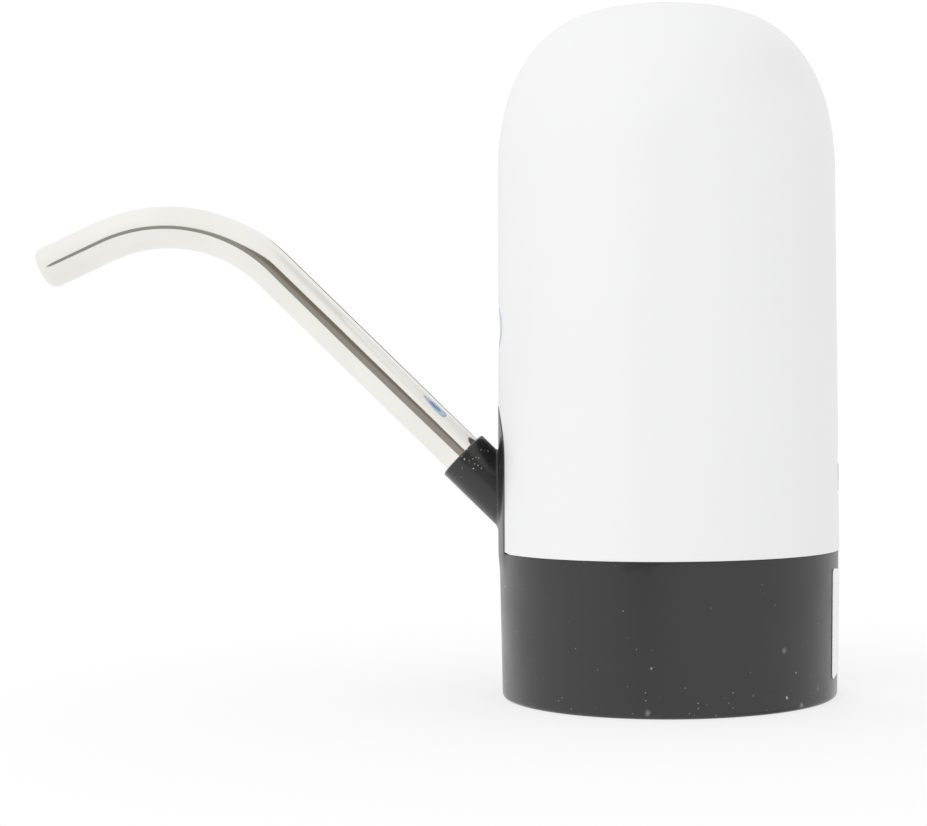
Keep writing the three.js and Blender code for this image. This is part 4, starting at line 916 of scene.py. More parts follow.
def tube_tree() -> bpy.types.NodeTree:
    """Makes the tree that draws a round tube along a row of points.

    Its far end is drawn in a little, and it keeps its length and turn for the finish.

    Returns:
        The tree.
    """
    tree, given = new_tree(
        "tube_on_path", {"Radius": "NodeSocketFloat", "Sides": "NodeSocketInt", "Ends": "NodeSocketBool",
                         "Nose": "NodeSocketFloat", "Inset": "NodeSocketFloat", "Material": "NodeSocketMaterial"},
    )
    line = tree.add("GeometryNodeMeshToCurve", {0: given.outputs["Geometry"]}).outputs[0]
    length = tree.add("GeometryNodeSplineParameter").outputs["Length"]
    whole = tree.add("GeometryNodeSplineLength").outputs["Length"]
    near = tree.math("DIVIDE", tree.math("SUBTRACT", whole, length), given.outputs["Nose"])
    share = tree.math("MAXIMUM", tree.math("SUBTRACT", 1.0, near), 0.0)
    round_off = tree.math("SQRT", tree.math("SUBTRACT", 1.0, tree.math("MULTIPLY", share, share)))
    drawn_in = tree.math("MULTIPLY", given.outputs["Inset"], tree.math("SUBTRACT", 1.0, round_off))
    size = tree.math("SUBTRACT", 1.0, drawn_in)
    marked = tree.store(line, "along", length)
    inputs = {"Resolution": given.outputs["Sides"], "Radius": given.outputs["Radius"]}
    profile = tree.add("GeometryNodeCurvePrimitiveCircle", inputs).outputs[0]
    profile = tree.store(profile, "turn", tree.add("GeometryNodeSplineParameter").outputs["Factor"])
    inputs = {"Curve": marked, "Profile Curve": profile, "Scale": size, "Fill Caps": given.outputs["Ends"]}
    tube = tree.add("GeometryNodeCurveToMesh", inputs).outputs[0]
    along, turn = (
        tree.add("GeometryNodeInputNamedAttribute", {"Name": name}, data_type="FLOAT").outputs[0]
        for name in ("along", "turn")
    )
    angle = tree.math("MULTIPLY", turn, FULL_TURN)
    parts = {0: tree.math("SINE", angle), 1: tree.math("COSINE", angle), 2: along}
    around = tree.add("ShaderNodeCombineXYZ", parts).outputs[0]
    return close_tree(tree, tree.store(tube, "around", around, "FLOAT_VECTOR"), given.outputs["Material"])


def copies_tree() -> bpy.types.NodeTree:
    """Makes the tree that stands a copy of an object on each point, turned at random about its axis.

    Returns:
        The tree.
    """
    tree, given = new_tree(
        "copies_on_points", {"Copy": "NodeSocketObject", "Aim": "NodeSocketVector", "Seed": "NodeSocketInt",
                             "Material": "NodeSocketMaterial"},
    )
    shape = tree.add("GeometryNodeObjectInfo", {"Object": given.outputs["Copy"]}).outputs["Geometry"]
    inputs = {"Points": given.outputs["Geometry"], "Instance": shape, "Rotation": given.outputs["Aim"]}
    stood = tree.add("GeometryNodeInstanceOnPoints", inputs).outputs[0]
    inputs = {2: 0.0, 3: FULL_TURN, "Seed": given.outputs["Seed"]}
    angle = tree.add("FunctionNodeRandomValue", inputs, data_type="FLOAT").outputs[1]
    turn = tree.add("ShaderNodeCombineXYZ", {2: angle}).outputs[0]
    inputs = {"Instances": stood, "Rotation": turn, "Local Space": True}
    turned = tree.add("GeometryNodeRotateInstances", inputs).outputs[0]
    return close_tree(tree, turned, given.outputs["Material"])


def ribs_tree() -> bpy.types.NodeTree:
    """Makes the tree that stands ribs in a ring inside a sleeve and joins them to it.

    Returns:
        The tree.
    """
    tree, given = new_tree(
        "ribs_in_ring", {"Rib": "NodeSocketObject", "Count": "NodeSocketInt", "Material": "NodeSocketMaterial"}
    )
    count = given.outputs["Count"]
    shape = tree.add("GeometryNodeObjectInfo", {"Object": given.outputs["Rib"]}).outputs["Geometry"]
    points = tree.add("GeometryNodeMeshLine", {"Count": count, "Offset": (0.0, 0.0, 0.0)}).outputs[0]
    share = tree.math("DIVIDE", tree.add("GeometryNodeInputIndex").outputs[0], count)
    turn = tree.add("ShaderNodeCombineXYZ", {2: tree.math("MULTIPLY", share, FULL_TURN)}).outputs[0]
    inputs = {"Points": points, "Instance": shape, "Rotation": turn}
    stood = tree.add("GeometryNodeInstanceOnPoints", inputs).outputs[0]
    joined = tree.add("GeometryNodeJoinGeometry", {0: given.outputs["Geometry"]})
    tree.tree.links.new(stood, joined.inputs[0])
    return close_tree(tree, joined.outputs[0], given.outputs["Material"])


def bare_points(name: str, points: Sequence[Sequence[float]], joined: bool) -> Piece:
    """Makes an object of bare points for a tree to work on.

    Args:
        name: The object's name.
        points: The points, in millimetres.
        joined: Whether they are joined in a row.

    Returns:
        The object.
    """
    mesh = bpy.data.meshes.new(name)
    edges = [(i, i + 1) for i in range(len(points) - 1)] if joined else []
    mesh.from_pydata([tuple(Vector(point) * MM) for point in points], edges, [])
    return linked(name, mesh)


def dressed(piece: Piece, finish: Finish, body: Body, *nodes: str) -> None:
    """Gives a piece its finish and its body, and hides the CAD nodes that it stands for.

    Args:
        piece: The finished piece.
        finish: Its finish.
        body: The body that carries it.
        nodes: The CAD nodes that it replaces.
    """
    piece.data.materials.clear()
    piece.data.materials.append(finish.material())
    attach(piece, body.value)
    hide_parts(*nodes)
    LOG.info("%s: %d faces on %s", piece.name, len(piece.data.polygons), body.value)


# The body's round walls


@dataclass
class Barrel:
    """The upright round wall that the shell, the base and all that lies on them share.

    A place on it is an arc length from the front, towards +Y, and a height.
    """

    radius: float
    seam: float = 27.9
    shoulder: float = 98.5
    draft: float = 0.32
    columns: int = 160
    side_steps: int = 14
    arch_steps: int = 40

    def at(self, across: float, height: float, radius: float) -> Vector:
        """The point at an arc length and a height, on a given radius."""
        angle = across / self.radius
        return Vector((-radius * math.cos(angle), radius * math.sin(angle), height))

    def wall(self, height: float) -> float:
        """The shell's outer radius at a height."""
        return self.radius - self.draft * (height - self.seam) / (self.shoulder - self.seam)

    def edges(self) -> Pair:
        """Arc lengths of the seam where the wall meets itself, at +Y."""
        return -1.5 * math.pi * self.radius, 0.5 * math.pi * self.radius

    def columns_across(self) -> list[float]:
        """Arc lengths of all columns, from one side of the seam to the other."""
        start, end = self.edges()
        return [start + (end - start) * i / self.columns for i in range(self.columns + 1)]

    def line(self, start: float, end: float, height: float, step: float = 1.3) -> list[Pair]:
        """Points along a level line, both ends included."""
        count = max(int(abs(end - start) / step), 1)
        return [(start + (end - start) * i / count, height) for i in range(count + 1)]

    def arch(self, half: float, foot: float, crown: float) -> list[Pair]:
        """An arch over the front, from its foot at -Y to its foot at +Y.

        Args:
            half: Half of its width.
            foot: Height of its feet.
            crown: Height of its top.

        Returns:
            Its arc lengths and heights.
        """
        centre = crown - half
        sides = [foot + (centre - foot) * i / self.side_steps for i in range(self.side_steps + 1)]
        made = [(-half, height) for height in sides]
        for i in range(1, self.arch_steps):
            angle = math.pi * (1 - i / self.arch_steps)
            made.append((half * math.cos(angle), centre + half * math.sin(angle)))
        made += [(half, height) for height in reversed(sides)]
        return self.unrolled(made)

    def unrolled(self, outline: Sequence[Pair]) -> list[Pair]:
        """An outline seen along X, as arc lengths and heights."""
        return [(self.radius * math.asin(y / self.radius), z) for y, z in outline]

    def back(self, outline: Sequence[Pair]) -> list[Pair]:
        """The same outline, moved round from the front to the back."""
        return [(u - math.pi * self.radius, v) for u, v in outline]


@dataclass
class ShellCasing:
    """The white dome with its openings, and the bosses inside it."""

    barrel: Barrel
    top: float
    wall: float = 2.0
    edge: float = 0.4
    seam_edge: float = 0.1
    overhang: float = 0.24
    overhang_reach: Pair = (13.5, 11.0)
    crown_curve: float = 145.0
    crown_edge: float = 9.6
    shoulder_power: float = 2.28
    dome_steps: int = 44
    crown_steps: int = 5
    arch_half: float = 10.55
    arch_top: float = 55.7
    button_half: Pair = (8.6, 4.75)
    port_half: Pair = (6.55, 3.55)
    port_corner: float = 1.4
    light_radius: float = 1.42
    boss_radius: float = 2.8
    boss_bore: float = 1.35
    boss_bottom: float = 21.5
    boss_top: float = 46.0
    boss_step: float = 14.0
    rib_bottom: float = 31.15
    rib_thickness: float = 2.0

    def place(self, across: float, height: float, depth: float) -> Vector:
        """A point of the straight wall."""
        return self.barrel.at(across, height, self.barrel.wall(height) - depth)

    def dome(self, inset: float) -> list[Pair]:
        """The dome's profile, from the shoulder to the crown's middle.

        Args:
            inset: How far it is drawn in.

        Returns:
            Its radii and heights.
        """
        side = self.barrel.radius - self.barrel.draft - inset
        sag = self.crown_curve - math.sqrt(self.crown_curve**2 - self.crown_edge**2)
        rise = self.top - sag - inset - self.barrel.shoulder
        power = 2 / self.shoulder_power
        made = []
        for i in range(self.dome_steps):
            angle = QUARTER_TURN * i / self.dome_steps
            across = self.crown_edge + (side - self.crown_edge) * math.cos(angle) ** power
            made.append((across, self.barrel.shoulder + rise * math.sin(angle) ** power))
        for i in range(self.crown_steps + 1):
            radius = self.crown_edge * (1 - i / self.crown_steps)
            drop = self.crown_curve - math.sqrt(self.crown_curve**2 - radius**2)
            made.append((radius, self.top - inset - drop))
        return made

    def seam(self) -> list[Pair]:
        """The shell's lower edge, which hangs a little over the base away from the arch.

        Returns:
            Its arc lengths and heights, from one side of the seam to the other.
        """
        barrel = self.barrel
        start, end = barrel.edges()
        arch = barrel.arch(self.arch_half, barrel.seam, self.arch_top)
        hung = barrel.seam - self.overhang
        left = barrel.line(start, arch[0][0], hung)[:-1]
        right = barrel.line(arch[-1][0], end, hung)[1:]
        left, right = (
            [(u, v + (barrel.seam - hung) * smooth(abs(u), *self.overhang_reach)) for u, v in side]
            for side in (left, right)
        )
        return left + arch + right

    def rims(self) -> list[Rim]:
        """The edges of the straight wall.

        Returns:
            The seam, the shoulder and the three openings.
        """
        barrel = self.barrel
        upper = [(across, barrel.shoulder) for across in reversed(barrel.columns_across())]
        wide, tall = self.button_half
        oval = [(wide * x, BUTTON_HEIGHT + tall * y) for x, y in circle(1.0, 72, clockwise=True)]
        (half, rise), corner = self.port_half, self.port_corner
        low, high = PORT_HEIGHT - rise, PORT_HEIGHT + rise
        port = [(-half, low, corner), (-half, high, corner), (half, high, corner), (half, low, corner)]
        light = circle(self.light_radius, 28, clockwise=True, centre=(0.0, LIGHT_HEIGHT))
        soft = (self.edge, self.edge / 2)
        return [
            Rim.soft(self.seam(), self.place, self.wall, (self.seam_edge, self.seam_edge), closed=False),
            Rim(upper, upper, [], closed=False, bare=True),
            Rim.soft(barrel.unrolled(oval), self.place, self.wall, soft),
            Rim.soft(barrel.back(rounded(port, 6)), self.place, self.wall, soft),
            Rim.soft(barrel.back(light), self.place, self.wall, (self.edge / 2, self.edge / 4)),
        ]

    def build(self) -> None:
        """Builds the shell as one piece."""
        skin = Sheet(self.place, self.wall, 1.5, self.rims(), wraps=True, back_step=2.4).skin()
        columns = self.barrel.columns_across()
        for inset in (0.0, self.wall):
            profile = self.dome(inset)
            rows = [[self.barrel.at(across, height, radius) for across in columns] for radius, height in profile]
            skin.bands(rows, closed=False)
        for i in range(4):
            skin.merge(self.boss(), Matrix.Rotation(math.pi / 4 + i * QUARTER_TURN, 4, "Z"))
        dressed(skin.piece("shell_dome"), WHITE_SHELL, Body.BASE, "outer_shell")

    def boss(self) -> Skin:
        """One screw boss on the +X side, with the rib that ties it to the wall.

        Returns:
            The boss's skin.
        """
        outer, bore, ease = self.boss_radius, self.boss_bore, 0.3
        low, high, blind = self.boss_bottom, self.boss_top, self.boss_bottom + self.boss_step
        profile = [
            (bore + ease, low), (outer - ease, low), (outer, low + ease), (outer, high - ease),
            (outer - ease, high), (0.0, high), (0.0, blind + 0.5), (bore, blind), (bore, low + ease),
        ]
        made = Skin()
        made.merge(revolved(profile, 40), Matrix.Translation((CORNER_SCREW_CIRCLE, 0.0, 0.0)))
        start, end = CORNER_SCREW_CIRCLE + outer * 0.8, self.barrel.radius - self.wall * 0.6
        low, high, thickness = self.rib_bottom, high - ease, self.rib_thickness

        def upright(out: float, height: float, depth: float) -> Vector:
            """A point of the rib, whose depth runs across."""
            return Vector((out, depth - thickness / 2, height))

        outline = rounded([(start, low), (end, low), (end, high), (start, high, 1.0)])
        made.merge(slab(outline, upright, thickness, 3.0, (0.2, 0.2), 2))
        return made


@dataclass(frozen=True)
class SocketFrame:
    """The tilted axis that the spout turns about.

    Along the axis, 0 is the mouth and inward is negative.
    """

    mouth: Vector
    tilt: float

    @property
    def outward(self) -> Vector:
        """Direction out of the mouth."""
        return Vector((-math.sin(self.tilt), 0.0, math.cos(self.tilt)))

    @property
    def over(self) -> Vector:
        """Direction up over the spout."""
        return Vector((math.cos(self.tilt), 0.0, math.sin(self.tilt)))

    @property
    def frame(self) -> Matrix:
        """The frame whose Z points out of the mouth."""
        turned = Matrix((self.over, (0.0, 1.0, 0.0), self.outward)).transposed().to_4x4()
        return Matrix.Translation(self.mouth) @ turned

    def at(self, radius: float, turn: float, along: float) -> Vector:
        """A point round the axis."""
        side = self.over * math.cos(turn) + Vector((0.0, 1.0, 0.0)) * math.sin(turn)
        return self.mouth + self.outward * along + side * radius


@dataclass
class BaseCollar:
    """The black base: its outer wall with the tongue and the spout socket, its deck and its lip."""

    barrel: Barrel
    socket: SocketFrame
    top: float = 27.6
    top_radius: float = 32.35
    foot_radius: float = 31.94
    rim_round: float = 0.8
    well: float = 29.4
    chamfer: float = 0.5
    proud: float = 0.08
    tongue_half: float = 10.25
    tongue_top: float = 55.4
    tongue_blend: Pair = (1.2, 0.8)
    blend_start: float = 23.5
    edge: float = 0.14
    socket_radius: float = 5.2
    socket_edge: float = 0.45
    fillet: float = 0.9
    fillet_steps: int = 6
    bore: float = 4.12
    pocket_radius: float = 5.8
    pocket_start: float = -16.5
    boss_radius: float = 7.2
    boss_end: float = -22.4
    deck: Pair = (18.8, 21.2)
    lip: Pair = (28.2, 30.2)
    lip_top: float = 31.0
    sunk: float = 0.5
    nipple_hole: float = 3.5
    screw_hole: float = 2.55
    turns: int = 72

    @property
    def depth(self) -> float:
        """Thickness of the wall at its top."""
        return self.top_radius - self.well

    def outer(self, across: float, height: float) -> float:
        """The wall's outer radius, which grows over the tongue.

        Args:
            across: Arc length from the front.
            height: Height of the place.

        Returns:
            The radius.
        """
        slope = (self.top_radius - self.foot_radius) / (self.top - self.rim_round)
        plain = self.foot_radius + slope * (min(height, self.top) - self.rim_round)
        raised = self.barrel.wall(height) + self.proud
        beside, over = self.tongue_blend
        sideways = smooth(abs(across), self.tongue_half + beside, self.tongue_half - over)
        return plain + (raised - plain) * smooth(height, self.blend_start, self.top) * sideways

    def place(self, across: float, height: float, depth: float) -> Vector:
        """A point of the wall, from its outer face at depth 0 to the well."""
        outer = self.outer(across, height)
        return self.barrel.at(across, height, outer + (self.well - outer) * depth / self.depth)

    def deck_place(self, across: float, along: float, depth: float) -> Vector:
        """A point of the deck, whose depth runs up from its underside."""
        return Vector((across, along, self.deck[0] + depth))

    def build(self) -> None:
        """Builds the base as one piece."""
        barrel = self.barrel
        start, end = barrel.edges()
        floor = [(across, 0.0) for across in barrel.columns_across()]
        arch = barrel.arch(self.tongue_half, self.top, self.tongue_top)
        roof = barrel.line(end, arch[-1][0], self.top)[:-1] + arch[::-1]
        roof += barrel.line(arch[0][0], start, self.top)[1:]
        foot = quarter_round(self.rim_round, 5)
        foot += [(0.0, self.depth - self.chamfer), (self.chamfer, self.depth)]
        rims = [
            Rim.stepped(floor, self.place, foot, closed=False),
            Rim.soft(roof, self.place, self.depth, (self.edge, 0.1), closed=False),
            self.mouth_rim(),
        ]
        skin = Sheet(self.place, self.depth, 1.4, rims, wraps=True, back_step=2.2).skin()
        skin.merge(self.deck_plate())
        inner, outer = self.lip
        low, high, ease = self.deck[1] - self.sunk, self.lip_top, 0.3
        lip = [
            (inner, low), (outer, low), (outer, high - self.sunk), (outer - ease, high), (inner + ease, high),
            (inner, high - ease),
        ]
        skin.merge(revolved(lip, barrel.columns))
        dressed(skin.piece("base_with_socket"), BLACK_BASE, Body.BASE, "base_collar")

    def meet(self, radius: float, turn: float, back: bool) -> float:
        """How far along the socket's axis a line beside it meets the wall.

        Args:
            radius: The line's distance from the axis.
            turn: Its angle round the axis.
            back: Whether it meets the inner face rather than the outer one.

        Returns:
            The place along the axis.
        """
        far, near = 8.0, -24.0
        for _ in range(48):
            middle = (far + near) / 2
            point = self.socket.at(radius, turn, middle)
            across = self.barrel.radius * math.atan2(point.y, -point.x)
            wall = self.well if back else self.outer(across, point.z)
            if math.hypot(point.x, point.y) > wall:
                far = middle
            else:
                near = middle
        return (far + near) / 2

    def flat(self, point: Vector) -> Pair:
        """Arc length and height of a point."""
        return (self.barrel.radius * math.atan2(point.y, -point.x), point.z)

    def mouth_rim(self) -> Rim:
        """The spout socket, which rises from the tongue, turns in and ends behind the wall.

        Returns:
            The socket as a rim of the wall.
        """
        turns = [-FULL_TURN * i / self.turns for i in range(self.turns)]
        socket, radius = self.socket, self.socket_radius
        front = [socket.at(radius + self.fillet, t, self.meet(radius + self.fillet, t, False)) for t in turns]
        corner = [socket.at(radius, t, self.meet(radius, t, False)) for t in turns]
        rings = []
        for k in range(1, self.fillet_steps + 1):
            share = k / self.fillet_steps
            row = []
            for first, knee in zip(front, corner):
                last = knee + socket.outward * self.fillet
                row.append(first * (1 - share) ** 2 + knee * 2 * share * (1 - share) + last * share**2)
            rings.append(row)
        knees = rings[-1]
        for share in (0.25, 0.5, 0.75):
            row = []
            for last in knees:
                reach = (last - socket.mouth).dot(socket.outward)
                row.append(last + socket.outward * (-self.socket_edge - reach) * share)
            rings.append(row)
        rings += [[socket.at(r, t, along) for t in turns] for r, along in self.socket_profile()]
        back = [socket.at(self.boss_radius, t, self.meet(self.boss_radius, t, True)) for t in turns]
        return Rim([self.flat(p) for p in front], [self.flat(p) for p in back], rings)

    def socket_profile(self) -> list[Pair]:
        """The socket's profile, from its rounded lip through the bore and the seal's pocket.

        Returns:
            Radii and places along the axis.
        """
        ease, end = 0.3, self.boss_end
        lip = [(self.socket_radius - sunk, -offset) for offset, sunk in quarter_round(self.socket_edge, 4)]
        mouth = [(self.bore + offset, -sunk) for offset, sunk in quarter_round(ease, 3)]
        pocket = [
            (self.bore, self.pocket_start), (self.pocket_radius, self.pocket_start),
            (self.pocket_radius, end + ease), (self.pocket_radius + ease, end),
            (self.boss_radius - ease, end), (self.boss_radius, end + ease),
        ]
        return lip + mouth + pocket

    def deck_plate(self) -> Skin:
        """The deck across the base, with its screw holes and the hole of the nipple.

        Returns:
            The deck's skin.
        """
        place, depth = self.deck_place, self.deck[1] - self.deck[0]
        rims = [
            Rim.soft(circle(self.well + 0.2, 120), place, depth, (0.1, 0.1), steps=1),
            Rim.soft(circle(self.nipple_hole, 36, clockwise=True), place, depth, (0.3, 0.2)),
        ]
        profile = [(0.25, 0.0), (0.0, 0.25), (0.0, 1.3), (-1.2, 1.3), (-1.2, depth - 0.2), (-1.0, depth)]
        for centre in (*corner_places(CORNER_SCREW_CIRCLE), *DECK_SCREWS):
            rims.append(Rim.stepped(circle(self.screw_hole, 32, True, centre), place, profile))
        return Sheet(place, depth, 2.2, rims).skin()


def smooth(value: float, start: float, end: float) -> float:
    """An eased step from 0 at the start to 1 at the end."""
    share = min(max((value - start) / (end - start), 0.0), 1.0)
    return share * share * (3 - 2 * share)


# The pieces outside


@dataclass
class Spout:
    """The bent steel tube."""

    socket: SocketFrame
    tubes: TubeMaker
    radius: float = 4.0
    wall: float = 0.5
    inside: float = -19.4
    vertex: float = 70.85
    end: float = 33.07
    turn: float = math.radians(69.3)
    bend: float = 29.0
    straight_steps: int = 24
    bend_steps: int = 64
    rest_steps: int = 6
    nose_steps: int = 8
    nose: float = 1.5
    inset: float = 0.3

    def path(self) -> list[Vector]:
        """The tube's middle line, from inside the socket to the open end.

        Returns:
            Its points.
        """
        over, outward = self.socket.over, self.socket.outward
        tangent = self.bend * math.tan(self.turn / 2)
        length, count = self.vertex - tangent - self.inside, self.straight_steps
        made = [self.socket.at(0.0, 0.0, self.inside + length * i / count) for i in range(count + 1)]
        centre = made[-1] - over * self.bend
        for i in range(1, self.bend_steps + 1):
            angle = self.turn * i / self.bend_steps
            made.append(centre + over * self.bend * math.cos(angle) + outward * self.bend * math.sin(angle))
        heading = outward * math.cos(self.turn) - over * math.sin(self.turn)
        rest, start, count = self.end - tangent, made[-1], self.rest_steps
        made += [start + heading * ((rest - self.nose) * i / count) for i in range(1, count + 1)]
        shares = [i / self.nose_steps for i in range(1, self.nose_steps + 1)]
        return made + [start + heading * (rest - self.nose * (1 - share) ** 2) for share in shares]

    def build(self) -> None:
        """Builds the tube, whose lips are rounded, as one piece."""
        path, nose = self.path(), (self.nose, self.inset)
        piece = self.tubes.draw("spout_polished", path, self.radius, POLISHED_STEEL, 96, self.wall, 0.2, nose)
        dressed(piece, POLISHED_STEEL, Body.SPOUT, "spout_tube")


def ringed(name: str, profile: Sequence[Pair], frame: Matrix | None = None, sides: int = 96) -> Piece:
    """Makes a turned piece.

    Args:
        name: The piece's name.
        profile: Points of radius and height.
        frame: Where it goes, if it doesn't stand on the middle.
        sides: Sides of its round.

    Returns:
        The piece.
    """
    skin = Skin()
    skin.merge(revolved(profile, sides), frame)
    return skin.piece(name)


def along_x(place: Point) -> Matrix:
    """A frame whose Z points along X, from a place."""
    return Matrix.Translation(place) @ Matrix.Rotation(QUARTER_TURN, 4, "Y")


def routed(corners: Sequence[Vector], bend: float, steps: int = 12, stride: float = 2.0) -> list[Vector]:
    """A path through corner points with round bends.

    Args:
        corners: The corner points.
        bend: Radius of each bend.
        steps: Steps in each bend.
        stride: The longest straight step.

    Returns:
        The path's points.
    """
    marks = [corners[0]]
    for before, here, after in zip(corners, corners[1:], corners[2:]):
        into, out = (before - here).normalized(), (after - here).normalized()
        half = into.angle(out) / 2
        reach = bend / math.tan(half)
        centre = here + (into + out).normalized() * (bend / math.sin(half))
        start, end = here + into * reach - centre, here + out * reach - centre
        for k in range(steps + 1):
            marks.append(centre + start.slerp(end, k / steps).normalized() * bend)
    marks.append(corners[-1])
    made = [marks[0]]
    for first, last in zip(marks, marks[1:]):
        count = max(math.ceil((last - first).length / stride), 1)
        made += [first.lerp(last, (i + 1) / count) for i in range(count)]
    return made


@dataclass
class TubeMaker:
    """Draws tubes along paths with one shared tree."""

    tree: bpy.types.NodeTree = field(default_factory=tube_tree)

    def draw(
        self, name: str, path: Sequence[Vector], radius: float, finish: Finish, sides: int = 48, wall: float = 0.0,
        lip: float = 0.15, nose: Pair = (1.0, 0.0),
    ) -> Piece:
        """A tube along a path.

        Args:
            name: The piece's name.
            path: The path's points.
            radius: Its outer radius.
            finish: Its finish.
            sides: Sides of its round.
            wall: Thickness of its wall, or 0 where it is solid.
            lip: Width of the rounding of its ends.
            nose: Length of the rounded far end, and how far it is drawn in, as a share of the radius.

        Returns:
            The plain mesh piece.
        """
        piece = bare_points(name, path, joined=True)
        values = {
            "Radius": radius * MM, "Sides": sides, "Ends": wall == 0.0, "Nose": nose[0] * MM, "Inset": nose[1],
            "Material": finish.material(),
        }
        run_tree(piece, self.tree, values)
        if wall > 0.0:
            thick = piece.modifiers.new("wall", "SOLIDIFY")
            thick.thickness, thick.offset, thick.use_even_offset = wall * MM, -1.0, True
        soft = piece.modifiers.new("lips", "BEVEL")
        soft.width, soft.segments, soft.limit_method = lip * MM, 3, "ANGLE"
        soft.angle_limit = math.radians(50)
        return frozen(piece)


@dataclass
class PowerButton:
    """The oval button on the front, dished in the middle, with the flange that holds it."""

    barrel: Barrel
    half: Pair = (8.35, 4.5)
    inset: float = 0.1
    dish: float = 0.45
    dish_reach: Pair = (0.35, 0.8)
    edge: float = 0.55
    flange: float = 1.5
    flange_start: float = 2.1
    depth: float = 3.15
    stem_start: float = -28.65
    stem_radius: float = 2.2
    stem_length: float = 1.5

    def place(self, across: float, height: float, depth: float) -> Vector:
        """A point of the button, whose face is dished.

        Args:
            across: Arc length from the front.
            height: Height of the point.
            depth: How far it lies under the face.

        Returns:
            The point.
        """
        wide, tall = self.half
        reach = math.hypot(across / wide, (height - BUTTON_HEIGHT) / tall)
        sunk = self.dish * (1 - smooth(reach, *self.dish_reach)) * (1 - depth / self.depth)
        return self.barrel.at(across, height, self.barrel.wall(height) - self.inset - depth - sunk)

    def build(self) -> None:
        """Builds the button as one piece."""
        wide, tall = self.half
        oval = self.barrel.unrolled([(wide * x, BUTTON_HEIGHT + tall * y) for x, y in circle(1.0, 96)])
        out, start, end = -self.flange, self.flange_start, self.depth
        profile = quarter_round(self.edge, 5)
        profile += [(0.0, start), (out + 0.2, start), (out, start + 0.2), (out, end - 0.2), (out + 0.2, end)]
        skin = Sheet(self.place, end, 0.6, [Rim.stepped(oval, self.place, profile)], back_step=1.2).skin()
        radius, length = self.stem_radius, self.stem_length
        stem = rounded([(0.0, 0.0), (radius, 0.0), (radius, length, 0.2), (0.0, length)], 3)
        skin.merge(revolved(stem, 40), along_x((self.stem_start, 0.0, BUTTON_HEIGHT)))
        dressed(skin.piece("button_cap"), PALE_BUTTON, Body.BUTTON, "power_button")


@dataclass
class SocketCover:
    """The rubber flap over the charging socket, with a finger notch and a thin hinge."""

    barrel: Barrel
    low: float = 38.7
    high: float = 45.3
    half: float = 6.3
    corner: float = 1.0
    hinge_corner: float = 0.3
    thickness: float = 1.55
    lift: float = 0.05
    edge: float = 0.3
    lip: float = 0.35
    lip_band: Pair = (1.6, 0.9)
    groove_rise: float = 1.3
    groove_depth: float = 0.35
    groove_width: float = 0.35

    def place(self, across: float, height: float, depth: float) -> Vector:
        """A point of the flap, which is stepped back at its finger notch and thin at its hinge.

        Args:
            across: Arc length from the front.
            height: Height of the point.
            depth: How far it lies under the face.

        Returns:
            The point.
        """
        start, end = (self.high - reach for reach in self.lip_band)
        off_groove = (height - self.low - self.groove_rise) / self.groove_width
        sunk = self.lip * smooth(height, start, end) + self.groove_depth * math.exp(-(off_groove**2))
        face = self.lift - sunk * (1 - depth / self.thickness)
        return self.barrel.at(across, height, self.barrel.wall(height) + face - depth)

    def build(self) -> None:
        """Builds the flap as one piece."""
        half, low, high, hinge, corner = self.half, self.low, self.high, self.hinge_corner, self.corner
        frame = [(-half, low, hinge), (half, low, hinge), (half, high, corner), (-half, high, corner)]
        outline = self.barrel.back(rounded(frame, 6))
        rims = [Rim.soft(outline, self.place, self.thickness, (self.edge, 0.2))]
        skin = Sheet(self.place, self.thickness, 0.35, rims, back_step=0.8).skin()
        dressed(skin.piece("socket_flap"), MILKY_SILICONE, Body.SOCKET_COVER, "usb_cover")


@dataclass
class RatingLabel:
    """The bare film label on the back of the base."""

    collar: BaseCollar
    half: float = 12.0
    low: float = 4.1
    high: float = 24.6
    corner: float = 1.0
    gap: float = 0.05
    thickness: float = 0.15

    def place(self, across: float, height: float, depth: float) -> Vector:
        """A point of the film, which lies on the base."""
        wall = self.collar.outer(across, height)
        return self.collar.barrel.at(across, height, wall + self.gap + self.thickness - depth)

    def build(self) -> None:
        """Builds the label as one piece."""
        half, low, high, corner = self.half, self.low, self.high, self.corner
        frame = [(-half, low, corner), (half, low, corner), (half, high, corner), (-half, high, corner)]
        outline = self.collar.barrel.back(rounded(frame, 6))
        skin = slab(outline, self.place, self.thickness, 1.2, (0.05, 0.02), 2)
        dressed(skin.piece("blank_label"), LABEL_FILM, Body.BASE, "rating_label")


# The pieces inside


